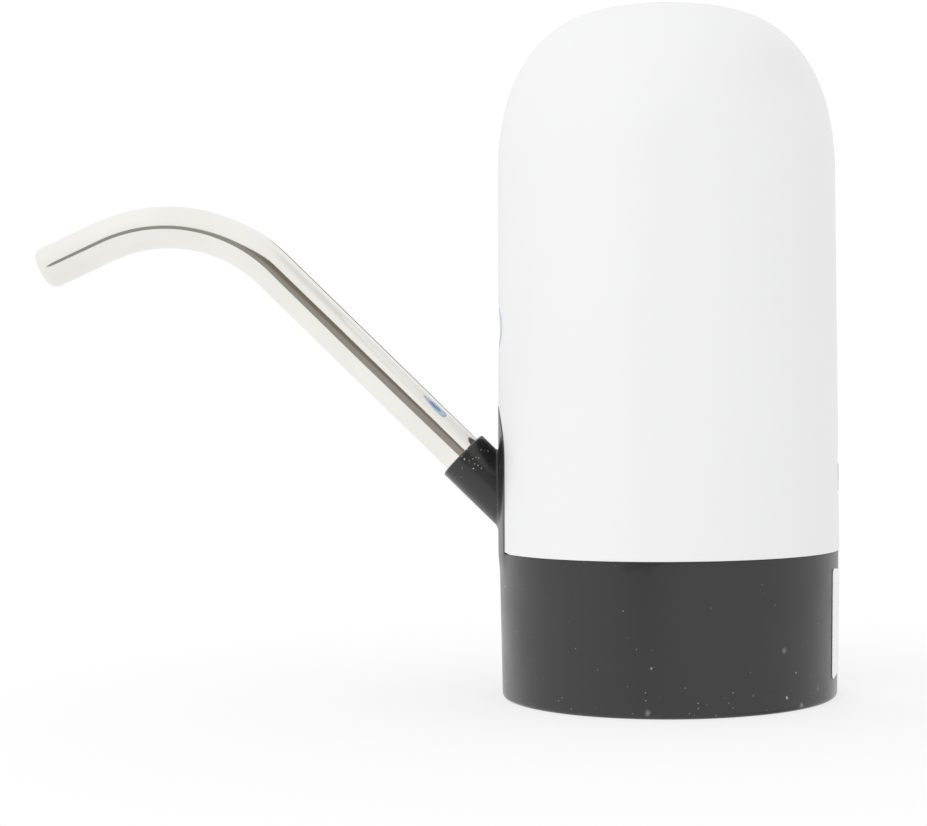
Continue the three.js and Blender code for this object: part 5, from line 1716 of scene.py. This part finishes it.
@dataclass
class ChargingPort:
    """The light pipe and the charging socket behind the shell's back."""

    barrel: Barrel
    pipe_radii: Pair = (2.0, 1.3)
    pipe_stop: float = 30.0
    pipe_gap: float = 0.1
    front: float = 30.1
    half: Pair = (4.5, 1.65)
    shell: float = 0.35
    tab_half: Pair = (3.0, 0.35)
    tab_inset: float = 0.7
    back_depth: float = 0.6

    def build(self) -> None:
        """Builds both pieces."""
        self.build_light_pipe()
        self.build_socket()

    def build_light_pipe(self) -> None:
        """Builds the clear pipe that brings the charge light to the shell."""
        foot, tip = self.pipe_radii
        length = self.barrel.wall(LIGHT_HEIGHT) - self.pipe_gap - BOARD_FACE
        stop = self.pipe_stop - BOARD_FACE
        corners = [
            (0.0, 0.0), (foot, 0.0, 0.2), (foot, stop, 0.3), (tip, stop, 0.1), (tip, length - 0.25, 0.2),
            (0.7, length), (0.0, length),
        ]
        pipe = ringed("light_pipe", rounded(corners), along_x((BOARD_FACE, 0.0, LIGHT_HEIGHT)), 40)
        dressed(pipe, CLEAR_PIPE, Body.BASE, "charge_light_pipe")

    def outline(self, half: float, rise: float, corner: float, steps: int) -> list[Pair]:
        """A rounded rectangle round the socket's middle."""
        frame = [(-half, -rise, corner), (half, -rise, corner), (half, rise, corner), (-half, rise, corner)]
        return [(x, y + PORT_HEIGHT) for x, y in rounded(frame, steps)]

    def build_socket(self) -> None:
        """Builds the plated socket, with its tab and its back wall, as one piece."""
        (half, rise), thick, inset = self.half, self.shell, self.tab_inset
        place, depth = facing_x(self.front), self.front - BOARD_FACE
        outer = self.outline(half, rise, rise - 0.01, 10)
        inner = self.outline(half - thick, rise - thick, rise - thick - 0.01, 10)
        rims = [
            Rim.soft(outer, place, depth, (0.1, 0.1), steps=2),
            Rim.soft(inner[::-1], place, depth, (0.12, 0.05), steps=2),
        ]
        skin = Sheet(place, depth, 1.0, rims).skin()
        tab = self.outline(*self.tab_half, 0.15, 3)
        skin.merge(slab(tab, facing_x(self.front - inset), depth - inset, 1.0, (0.15, 0.05)))
        wall = [(x * 0.97, (y - PORT_HEIGHT) * 0.97 + PORT_HEIGHT) for x, y in outer]
        skin.merge(slab(wall, facing_x(BOARD_FACE + self.back_depth), self.back_depth, 1.0, (0.05, 0.05), 1))
        dressed(skin.piece("charging_socket"), ZINC_PLATE, Body.BASE, "usb_receptacle")


@dataclass
class JugNeck:
    """What the jug's neck meets under the deck: the ribbed sleeve, the seal and the inlet nipple.

    The sleeve and the seal are given by their inner and outer radius, bottom and top.
    """

    sleeve: tuple[float, float, float, float] = (27.9, 29.1, 1.5, 18.5)
    rib_count: int = 12
    rib_half: float = 0.7
    rib_inner: float = 27.6
    rib_sunk: float = 0.3
    seal: tuple[float, float, float, float] = (22.3, 27.3, 17.3, 18.5)
    groove_count: int = 3
    groove_pitch: float = 1.2
    groove: float = 0.35
    o_ring: Pair = (4.7, 21.02)
    o_ring_half: Pair = (0.7, 0.3)
    barb_count: int = 3
    bore: float = 1.5
    stem: float = 3.4
    barb: float = 0.35
    flange: float = 6.4
    hose_barb: Pair = (2.3, 1.98)
    stem_heights: tuple[float, float, float, float] = (5.8, 17.6, 18.2, 21.5)
    flange_top: float = 23.2
    tip: float = 28.8

    def build(self) -> None:
        """Builds all four pieces."""
        self.build_sleeve()
        self.build_seal()
        self.build_nipple()
        (radius, height), (wide, tall) = self.o_ring, self.o_ring_half
        ring = [(radius + wide * x, height + tall * y) for x, y in circle(1.0, 16)]
        dressed(ringed("nipple_o_ring", ring), BLACK_RUBBER, Body.BASE, "nipple_seal")

    def build_sleeve(self) -> None:
        """Builds the rubber sleeve with its upright ribs."""
        inner, outer, low, high = self.sleeve
        wall = [
            (inner + 0.5, low, 0.3), (outer, low, 0.3), (outer, high, 0.2), (inner, high, 0.2), (inner, low + 0.4, 0.3)
        ]
        host = ringed("grip_sleeve", rounded(wall), sides=144)
        half, foot, head = self.rib_half, low + 0.3, high - 0.1
        outline = rounded([(-half, foot, 0.6), (half, foot, 0.6), (half, head, 0.3), (-half, head, 0.3)], 5)
        depth = inner - self.rib_inner + self.rib_sunk
        rib = slab(outline, facing_x(self.rib_inner, 1.0), depth, 0.7, (0.28, 0.02)).piece("rib_shape")
        run_tree(host, ribs_tree(), {"Rib": rib, "Count": self.rib_count, "Material": BLACK_RUBBER.material()})
        bpy.data.objects.remove(rib)
        dressed(host, BLACK_RUBBER, Body.BASE, "neck_sleeve")

    def build_seal(self) -> None:
        """Builds the seal that the jug's mouth meets, with its grooves."""
        inner, outer, low, high = self.seal
        lips = [(inner, low, 0.4), (inner, high, 0.3), (outer, high, 0.3), (outer, low, 0.3)]
        for i in range(self.groove_count):
            at, sunk = outer - self.groove_pitch * (i + 1), self.groove
            lips += [(at + sunk, low, 0.1), (at, low + sunk, 0.15), (at - sunk, low, 0.1)]
        seal = ringed("jug_mouth_seal", rounded(lips[::-1], 3), sides=128)
        dressed(seal, MILKY_SILICONE, Body.BASE, "jug_seal")

    def build_nipple(self) -> None:
        """Builds the nipple, with barbs both ways and a flange on the deck."""
        stem, waist, flange = self.stem, self.stem - self.barb, self.flange
        foot, shoulder, neck, under = self.stem_heights
        wide, narrow = self.hose_barb
        top, tip = self.flange_top, self.tip
        profile: list[Corner] = [(self.bore, foot, 0.15)]
        step = (shoulder - foot) / self.barb_count
        for i in range(self.barb_count):
            low = foot + i * step
            profile += [(waist, low, 0.12), (stem, low + step, 0.1)]
        profile += [(waist, shoulder, 0.1), (stem, neck, 0.1), (stem, under, 0.1), (flange, under, 0.25)]
        profile += [(flange, top, 0.35), (wide + 0.3, top, 0.4)]
        step = (tip - top) / self.barb_count
        for i in range(self.barb_count):
            low = top + i * step
            profile += [(wide, low + 0.05, 0.08), (narrow, low + step, 0.08)]
        profile += [(self.bore, tip, 0.12)]
        dressed(ringed("inlet_barb", rounded(profile, 3), sides=72), WHITE_NYLON, Body.BASE, "inlet_nipple")


@dataclass(frozen=True)
class ScrewSet:
    """Screws of one kind: the stem of their nodes' names, where each head stands and where they point."""

    name: str
    stem: str
    places: Sequence[Point]
    radius: float
    head: Pair
    length: float
    aim: Point = (0.0, 0.0, 0.0)
    seed: int = 7


@dataclass
class ScrewMaker:
    """Makes pan head screws with a tapered cross recess and a coarse thread."""

    pitch: float = 0.9
    sides: int = 40
    rows_per_turn: int = 12
    core: float = 0.78
    flank: float = 4.5
    point: float = 0.35
    crown: float = 0.42
    tree: bpy.types.NodeTree = field(default_factory=copies_tree)

    def cross(self, arm: float, half: float) -> list[Pair]:
        """Outline of the cross recess, clockwise.

        Args:
            arm: Length of its arms from the middle.
            half: Half of an arm's width.

        Returns:
            The outline's points.
        """
        corners = []
        for i in range(4):
            cosine, sine = math.cos(-i * QUARTER_TURN), math.sin(-i * QUARTER_TURN)
            for x, y, radius in ((-half, arm, 0.06), (half, arm, 0.06), (half, half, 0.12)):
                corners.append((x * cosine - y * sine, x * sine + y * cosine, radius))
        return rounded(corners, 3)

    def shape(self, kind: ScrewSet) -> Skin:
        """One screw about Z, its head's face at 0 and its point upwards.

        Args:
            kind: The kind of screw.

        Returns:
            The screw's skin.
        """
        wide, tall = kind.head
        crown = tall * self.crown

        def place(across: float, up: float, depth: float) -> Vector:
            """A point of the head, whose face is domed."""
            reach = min(math.hypot(across, up) / wide, 1.0)
            return Vector((across, up, crown * reach**3 * (1 - depth / tall) + depth))

        outer = Rim.soft(circle(wide, self.sides), place, tall, (0.2, 0.08), steps=3)
        taper = [(0.06, 0.0), (0.0, 0.06), (0.0, tall * 0.5), (0.0, tall)]
        recess = Rim.stepped(self.cross(wide * 0.6, wide * 0.13), place, taper)
        skin = Sheet(place, tall, wide * 0.2, [outer, recess]).skin()
        skin.merge(self.shank(kind.radius, tall * 0.75, tall + kind.length))
        return skin

    def shank(self, radius: float, start: float, end: float) -> Skin:
        """The threaded shank.

        Args:
            radius: Radius of the thread's crest.
            start: Where it starts.
            end: Where its point is.

        Returns:
            The shank's skin.
        """
        core, straight, sides = radius * self.core, end - start - radius, self.sides // 2
        count = int(straight / self.pitch * self.rows_per_turn)
        rows = []
        for i in range(count + 1):
            height = start + straight * i / count
            row = []
            for j in range(sides):
                angle = FULL_TURN * j / sides
                phase = (height - start) / self.pitch - angle / FULL_TURN
                crest = max(0.0, 1 - abs((phase % 1.0) - 0.5) * self.flank)
                reach = core + (radius - core) * crest
                row.append(Vector((reach * math.cos(angle), reach * math.sin(angle), height)))
            rows.append(row)
        ring = circle(core * self.point, sides)
        made = Skin()
        made.bands([*rows, [Vector((x, y, end)) for x, y in ring]])
        made.faces.append(tuple(range(sides)))
        made.faces.append(tuple(range(len(made.points) - sides, len(made.points))))
        return made

    def build(self, kind: ScrewSet) -> None:
        """Builds all screws of one kind as one piece.

        Args:
            kind: The kind of screw.
        """
        shape = self.shape(kind).piece(kind.name + "_shape", 30.0)
        host = bare_points(kind.name, kind.places, joined=False)
        values = {"Copy": shape, "Aim": kind.aim, "Seed": kind.seed, "Material": ZINC_PLATE.material()}
        run_tree(host, self.tree, values)
        bpy.data.objects.remove(shape)
        nodes = [f"{kind.stem}_{i + 1}" for i in range(len(kind.places))]
        dressed(host, ZINC_PLATE, Body.BASE, *nodes)

    def build_all(self) -> None:
        """Builds every screw of the pump."""
        quarter, deck = QUARTER_TURN, DECK_UNDERSIDE
        corners, inner = corner_places(CORNER_SCREW_CIRCLE), DECK_SCREWS
        turns = [math.radians(10.0) + i * FULL_TURN / 3 for i in range(3)]
        (across, along), reach = PUMP_MIDDLE, PUMP_SCREW_CIRCLE
        pump = [(reach * math.cos(a) + across, reach * math.sin(a) + along, PUMP_FOOT) for a in turns]
        clamp, strap = [(-18.7, 1.5, 76.0), (13.5, 1.5, 76.0)], [(-13.1, 9.5, 56.0), (13.1, 9.5, 56.0)]
        button, board = [(-21.3, 0.0, 60.0), (-21.3, 0.0, 80.0)], [(20.9, -9.5, 58.0), (20.9, 9.5, 58.0)]
        big, small, slim = (1.2, (2.4, 1.15)), (0.9, (1.7, 1.0)), (0.9, (1.5, 1.2))
        for kind in (
            ScrewSet("shell_screws", "shell_screw", [(x, y, deck) for x, y in corners], *big, 13.9),
            ScrewSet("deck_screws", "deck_screw", [(x, y, deck) for x, y in inner], *big, 4.6, seed=3),
            ScrewSet("motor_clamp_screws", "clamp_screw", clamp, *small, 3.0, (-quarter, 0.0, 0.0), 2),
            ScrewSet("cell_strap_screws", "strap_screw", strap, *small, 3.0, (quarter, 0.0, 0.0), 4),
            ScrewSet("pump_head_screws", "pump_screw", pump, *slim, 15.3, seed=9),
            ScrewSet("button_board_screws", "button_board_screw", button, *small, 4.6, (0.0, -quarter, 0.0), 5),
            ScrewSet("main_board_screws", "board_screw", board, *small, 4.6, (0.0, quarter, 0.0), 11),
        ):
            self.build(kind)


@dataclass
class WaterPath:
    """The soft pieces that carry the water: the seal behind the spout and both hoses.

    The seal is given by its inner and outer radius and its ends along the socket's axis, each hose by its
    radius and its wall.
    """

    socket: SocketFrame
    tubes: TubeMaker
    seal: tuple[float, float, float, float] = (4.12, 5.52, -18.8, -16.8)
    inlet_hose: Pair = (3.62, 1.24)
    inlet_start: float = 23.5
    inlet_length: float = 16.2
    outlet_hose: Pair = (2.77, 0.99)
    outlet_corners: Sequence[Point] = ((-15.5, 0.0, 27.78), (-7.6, 0.0, 27.78), (-7.6, 0.0, 39.7))
    outlet_bend: float = 4.6

    def build(self) -> None:
        """Builds all three pieces."""
        inner, outer, low, high = self.seal
        lips = [
            (inner, low, 0.15), (outer, low, 0.3), (outer, high, 0.3), (inner, high, 0.15),
            (inner, high - 0.55, 0.15), (inner + 0.35, (low + high) / 2, 0.3), (inner, low + 0.55, 0.15),
        ]
        seal = ringed("spout_lip_seal", rounded(lips), self.socket.frame, 72)
        dressed(seal, MILKY_SILICONE, Body.SPOUT_GLAND, "spout_seal")
        path = [Vector((0.0, 0.0, self.inlet_start + self.inlet_length * i / 12)) for i in range(13)]
        radius, wall = self.inlet_hose
        hose = self.tubes.draw("inlet_soft_hose", path, radius, MILKY_SILICONE, 48, wall, 0.25)
        dressed(hose, MILKY_SILICONE, Body.BASE, "inlet_hose")
        path = routed([Vector(corner) for corner in self.outlet_corners], self.outlet_bend)
        radius, wall = self.outlet_hose
        hose = self.tubes.draw("outlet_soft_hose", path, radius, MILKY_SILICONE, 40, wall, 0.2)
        dressed(hose, MILKY_SILICONE, Body.BASE, "outlet_hose")


@dataclass(frozen=True)
class Lead:
    """An insulated lead, which rises from its start, crosses to a corner and drops to where it meets the board."""

    node: str
    finish: Finish
    start: Point
    top: float
    corner: Pair
    foot: float
    board: float = 21.9

    def corners(self) -> list[Vector]:
        """Its corner points, from its start to the board.

        Returns:
            The points.
        """
        (x, y, _), (across, along) = self.start, self.corner
        bends = [(x, y, self.top), (across, along, self.top), (across, along, self.foot)]
        return [Vector(point) for point in (self.start, *bends, (self.board, along, self.foot))]


LEADS = (
    Lead("motor_lead_black", BLACK_WIRE, (-5.2, -10.8, 94.4), 97.5, (17.5, -10.8), 70.0),
    Lead("motor_lead_red", RED_WIRE, (0.0, -8.2, 94.4), 100.1, (16.2, -8.2), 64.8),
    Lead("battery_lead_black", BLACK_WIRE, (-1.4, 11.6, 90.3), 97.5, (17.5, 7.8), 70.0),
    Lead("battery_lead_red", RED_WIRE, (1.4, 16.2, 91.1), 100.1, (17.5, 10.4), 64.8),
)


@dataclass
class Wiring:
    """The four leads and the cell, which is given by its radius, bottom, top and the top of its nub."""

    tubes: TubeMaker
    radius: float = 0.6
    bend: float = 2.5
    cell: tuple[float, float, float, float] = (9.2, 25.8, 90.0, 90.8)
    cell_place: Point = (0.0, 16.2, 0.0)
    nub_radius: float = 2.8

    def build(self) -> None:
        """Builds the leads and the cell."""
        for lead in LEADS:
            path = routed(lead.corners(), self.bend, 10)
            piece = self.tubes.draw(lead.node + "_wire", path, self.radius, lead.finish, 20, lip=0.1)
            dressed(piece, lead.finish, Body.BASE, lead.node)
        self.build_cell()

    def build_cell(self) -> None:
        """Builds the wrapped cell, with its crimp and its nub."""
        (radius, low, top, nub), inner = self.cell, self.nub_radius
        corners = [
            (0.0, low), (radius - 1.6, low, 0.1), (radius - 1.6, low + 0.2, 0.1), (radius - 1.1, low, 0.1),
            (radius, low, 0.6), (radius, top - 4.2, 0.5), (radius - 0.45, top - 3.6, 0.4), (radius, top - 3.0, 0.5),
            (radius, top, 0.7), (radius - 1.1, top, 0.2), (radius - 1.4, top - 0.5, 0.2), (inner, top - 0.5, 0.3),
            (inner, nub, 0.35), (0.0, nub),
        ]
        cell = ringed("wrapped_cell", rounded(corners, 5), Matrix.Translation(self.cell_place))
        dressed(cell, CELL_WRAP, Body.BASE, "battery_cell")


# The studio


def boxy(share: float) -> float:
    """A sine or cosine pushed outwards, so that a circle turns into a rounded square."""
    return math.copysign(abs(share) ** 0.5, share)


@dataclass
class Studio:
    """The camera, the lamp, the cards and the white floor of a catalogue photograph.

    Each felt is a card's colour below and above. The flags are dimmer stretches of the sky, high or low and to
    the +X side, that only mirrored rays meet. The floor's fade and the felts' are distances in metres.
    """

    lens: float = 72.375
    sensor: float = 36.0
    shift: Pair = (-0.16, 0.0)
    camera_place: Point = (-6.773, -357.514, 53.535)
    yaw: float = 0.631
    pitch: float = 0.033
    roll: float = -0.377
    card_place: Point = (-71.0, -440.0, 127.0)
    card_half: Pair = (208.0, 92.0)
    card_turn: float = math.radians(-45.0)
    card_low: float = -24.0
    card_depth: float = 2.0
    felt_fade: Pair = (0.12, 0.2)
    near_felt: tuple[Rgba, Rgba] = ((0.325, 0.31, 0.28, 1.0), (0.2, 0.165, 0.135, 1.0))
    far_felt: tuple[Rgba, Rgba] = ((0.77, 0.76, 0.72, 1.0), (0.2, 0.19, 0.17, 1.0))
    flag_rise: Pair = (0.35, 0.65)
    flag_reach: Pair = (0.43, 0.88)
    flag_colour: Rgba = (0.3, 0.28, 0.22, 1.0)
    low_light: float = 0.97
    high_light: float = 1.02
    light_rise: Pair = (-0.1, 0.9)
    right_light: float = 0.93
    round_sides: int = 64
    floor_radii: Pair = (3000.0, 40.0)
    floor_height: float = -0.02
    floor_fade: Pair = (0.05, 0.16)
    floor_paint: Rgba = (0.9, 0.9, 0.9, 1.0)
    floor_glow: float = 0.7
    lamp_place: Point = (-330.0, -620.0, 330.0)
    lamp_aim: Point = (0.0, 0.0, 60.0)
    lamp_size: float = 600.0
    lamp_power: float = 0.75

    def build(self) -> None:
        """Builds the whole studio."""
        self.camera()
        self.world()
        self.floor()
        across, away, height = self.card_place
        self.card("front_card", Vector((across, away, height)), self.near_felt)
        self.card("far_card", Vector((across, -away, height)), self.far_felt)
        self.lamp()

    def camera(self) -> None:
        """Adds the camera, aimed as the photograph's was."""
        data = bpy.data.cameras.new("photo_camera")
        data.lens, data.sensor_width = self.lens, self.sensor
        data.shift_x, data.shift_y = self.shift
        data.clip_start, data.clip_end = 0.01, 10.0
        yaw, pitch, roll = (math.radians(a) for a in (self.yaw, self.pitch, self.roll))
        ahead = Vector((-math.sin(yaw) * math.cos(pitch), math.cos(yaw) * math.cos(pitch), math.sin(pitch)))
        side = Vector((math.cos(yaw), math.sin(yaw), 0.0))
        above = side.cross(ahead)
        right = side * math.cos(roll) + above * math.sin(roll)
        upward = above * math.cos(roll) - side * math.sin(roll)
        matrix = Matrix((right, upward, -ahead)).transposed().to_4x4()
        matrix.translation = Vector(self.camera_place) * MM
        made = linked("photo_camera", data)
        made.matrix_world = matrix
        bpy.context.scene.camera = made

    def world(self) -> None:
        """Lights the scene evenly from all round, pure white behind the object.

        Mirrored rays also meet the flags, so that steel looks like steel from every side.
        """
        world = bpy.data.worlds.new("studio")
        world.use_nodes = True
        bpy.context.scene.world = world
        tree = NodeTree(world.node_tree)
        path = tree.add("ShaderNodeLightPath").outputs
        direction = tree.add("ShaderNodeTexCoord").outputs["Generated"]
        parts = tree.add("ShaderNodeSeparateXYZ", {0: direction}).outputs
        upward = tree.spread(parts[2], *self.light_rise, self.low_light, self.high_light)
        around = tree.math("MULTIPLY", upward, tree.spread(parts[0], -1.0, 1.0, 1.0, self.right_light))
        strength = tree.math("MAXIMUM", around, path["Is Camera Ray"])
        steep = tree.spread(tree.math("ABSOLUTE", parts[2], 0.0), *self.flag_rise, 0.0, 1.0)
        aside = tree.math("MULTIPLY", steep, tree.spread(parts[0], *self.flag_reach, 0.0, 1.0))
        share = tree.math("MULTIPLY", aside, path["Is Glossy Ray"])
        colour = tree.mix(share, WHITE, self.flag_colour)
        light = tree.add("ShaderNodeBackground", {"Color": colour, "Strength": strength})
        tree.add("ShaderNodeOutputWorld", {"Surface": light.outputs[0]})

    def floor(self) -> None:
        """Adds a wide white floor that keeps the object's shadow and fades to pure white away from it."""
        made, sides = Skin(), self.round_sides
        made.bands([[Vector((x, y, self.floor_height)) for x, y in circle(r, sides)] for r in self.floor_radii])
        made.faces.append(tuple(range(sides, 2 * sides)))
        piece = made.piece("studio_floor")
        if piece.data.polygons[0].normal.z < 0.0:
            piece.data.flip_normals()
        material, tree = new_material("studio_floor")
        seen = tree.add("ShaderNodeLightPath").outputs["Is Camera Ray"]
        place = tree.add("ShaderNodeTexCoord").outputs["Object"]
        reach = tree.add("ShaderNodeVectorMath", {0: place}, operation="LENGTH").outputs["Value"]
        share = tree.math("MULTIPLY", seen, tree.spread(reach, *self.floor_fade, self.floor_glow, 1.0))
        paint = tree.add("ShaderNodeBsdfDiffuse", {"Color": self.floor_paint}).outputs[0]
        glow = tree.add("ShaderNodeEmission", {"Color": WHITE, "Strength": 1.0}).outputs[0]
        both = tree.add("ShaderNodeMixShader", {0: share, 1: paint, 2: glow}).outputs[0]
        under = tree.add("ShaderNodeNewGeometry").outputs["Backfacing"]
        clear = tree.add("ShaderNodeBsdfTransparent").outputs[0]
        sided = tree.add("ShaderNodeMixShader", {0: under, 1: both, 2: clear}).outputs[0]
        tree.add("ShaderNodeOutputMaterial", {"Surface": sided})
        piece.data.materials.append(material)
        piece.visible_diffuse = piece.visible_glossy = piece.visible_transmission = piece.visible_shadow = False

    def card(self, name: str, centre: Vector, felt: tuple[Rgba, Rgba]) -> None:
        """Adds a card that the steel mirrors as a thin line.

        Args:
            name: The card's name.
            centre: Where its middle stands, in millimetres.
            felt: Its colours below and above.
        """
        made, sides = Skin(), self.round_sides
        wide, tall = self.card_half
        tilt = Matrix.Rotation(self.card_turn, 3, "Y")
        rows = []
        for depth in (0.0, self.card_depth):
            row = [centre + tilt @ Vector((wide * boxy(x), -depth, tall * boxy(y))) for x, y in circle(1.0, sides)]
            rows.append([Vector((point.x, point.y, max(point.z, self.card_low))) for point in row])
        made.bands(rows)
        made.faces += [tuple(range(sides)), tuple(range(sides, 2 * sides))]
        piece = made.piece(name)
        material, tree = new_material(name)
        place = tree.add("ShaderNodeTexCoord").outputs["Object"]
        height = tree.add("ShaderNodeSeparateXYZ", {0: place}).outputs[2]
        colour = tree.mix(tree.spread(height, *self.felt_fade, 0.0, 1.0), *felt)
        cloth = tree.add("ShaderNodeBsdfDiffuse", {"Color": colour})
        tree.add("ShaderNodeOutputMaterial", {"Surface": cloth.outputs[0]})
        piece.data.materials.append(material)
        piece.visible_diffuse = False
        piece.visible_camera = False

    def lamp(self) -> None:
        """Adds the soft square lamp."""
        data = bpy.data.lights.new("front_softbox", "AREA")
        data.size, data.energy = self.lamp_size * MM, self.lamp_power
        made = linked("front_softbox", data)
        made.visible_glossy = False
        place, aim = Vector(self.lamp_place), Vector(self.lamp_aim)
        made.location = place * MM
        made.rotation_euler = (aim - place).to_track_quat("-Z", "Y").to_euler()


def dress_nodes(frame: dict) -> None:
    """Gives every CAD node the finish that its slot names.
    """
    for node in frame["nodes"].values():
        for index, slot in enumerate(node.data.materials):
            finish = FINISHES.get(slot.name.split(".")[0]) if slot else None
            if finish:
                node.data.materials[index] = finish.material()


def main() -> None:
    """Builds the dressed pump and its studio."""
    logging.basicConfig(level=logging.INFO, format="%(name)s: %(message)s")
    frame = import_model()
    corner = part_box("outer_shell")[1] / MM
    barrel = Barrel(corner.y)
    socket = SocketFrame(Vector((-39.4, 0.0, 46.0)), math.radians(45.4))
    dress_nodes(frame)
    ShellCasing(barrel, corner.z).build()
    collar = BaseCollar(barrel, socket)
    collar.build()
    tubes = TubeMaker()
    Spout(socket, tubes).build()
    PowerButton(barrel).build()
    SocketCover(barrel).build()
    RatingLabel(collar).build()
    ChargingPort(barrel).build()
    JugNeck().build()
    ScrewMaker().build_all()
    WaterPath(socket, tubes).build()
    Wiring(tubes).build()
    Studio().build()
    bpy.context.scene.view_settings.view_transform = "Standard"


if __name__ == "__main__":
    main()
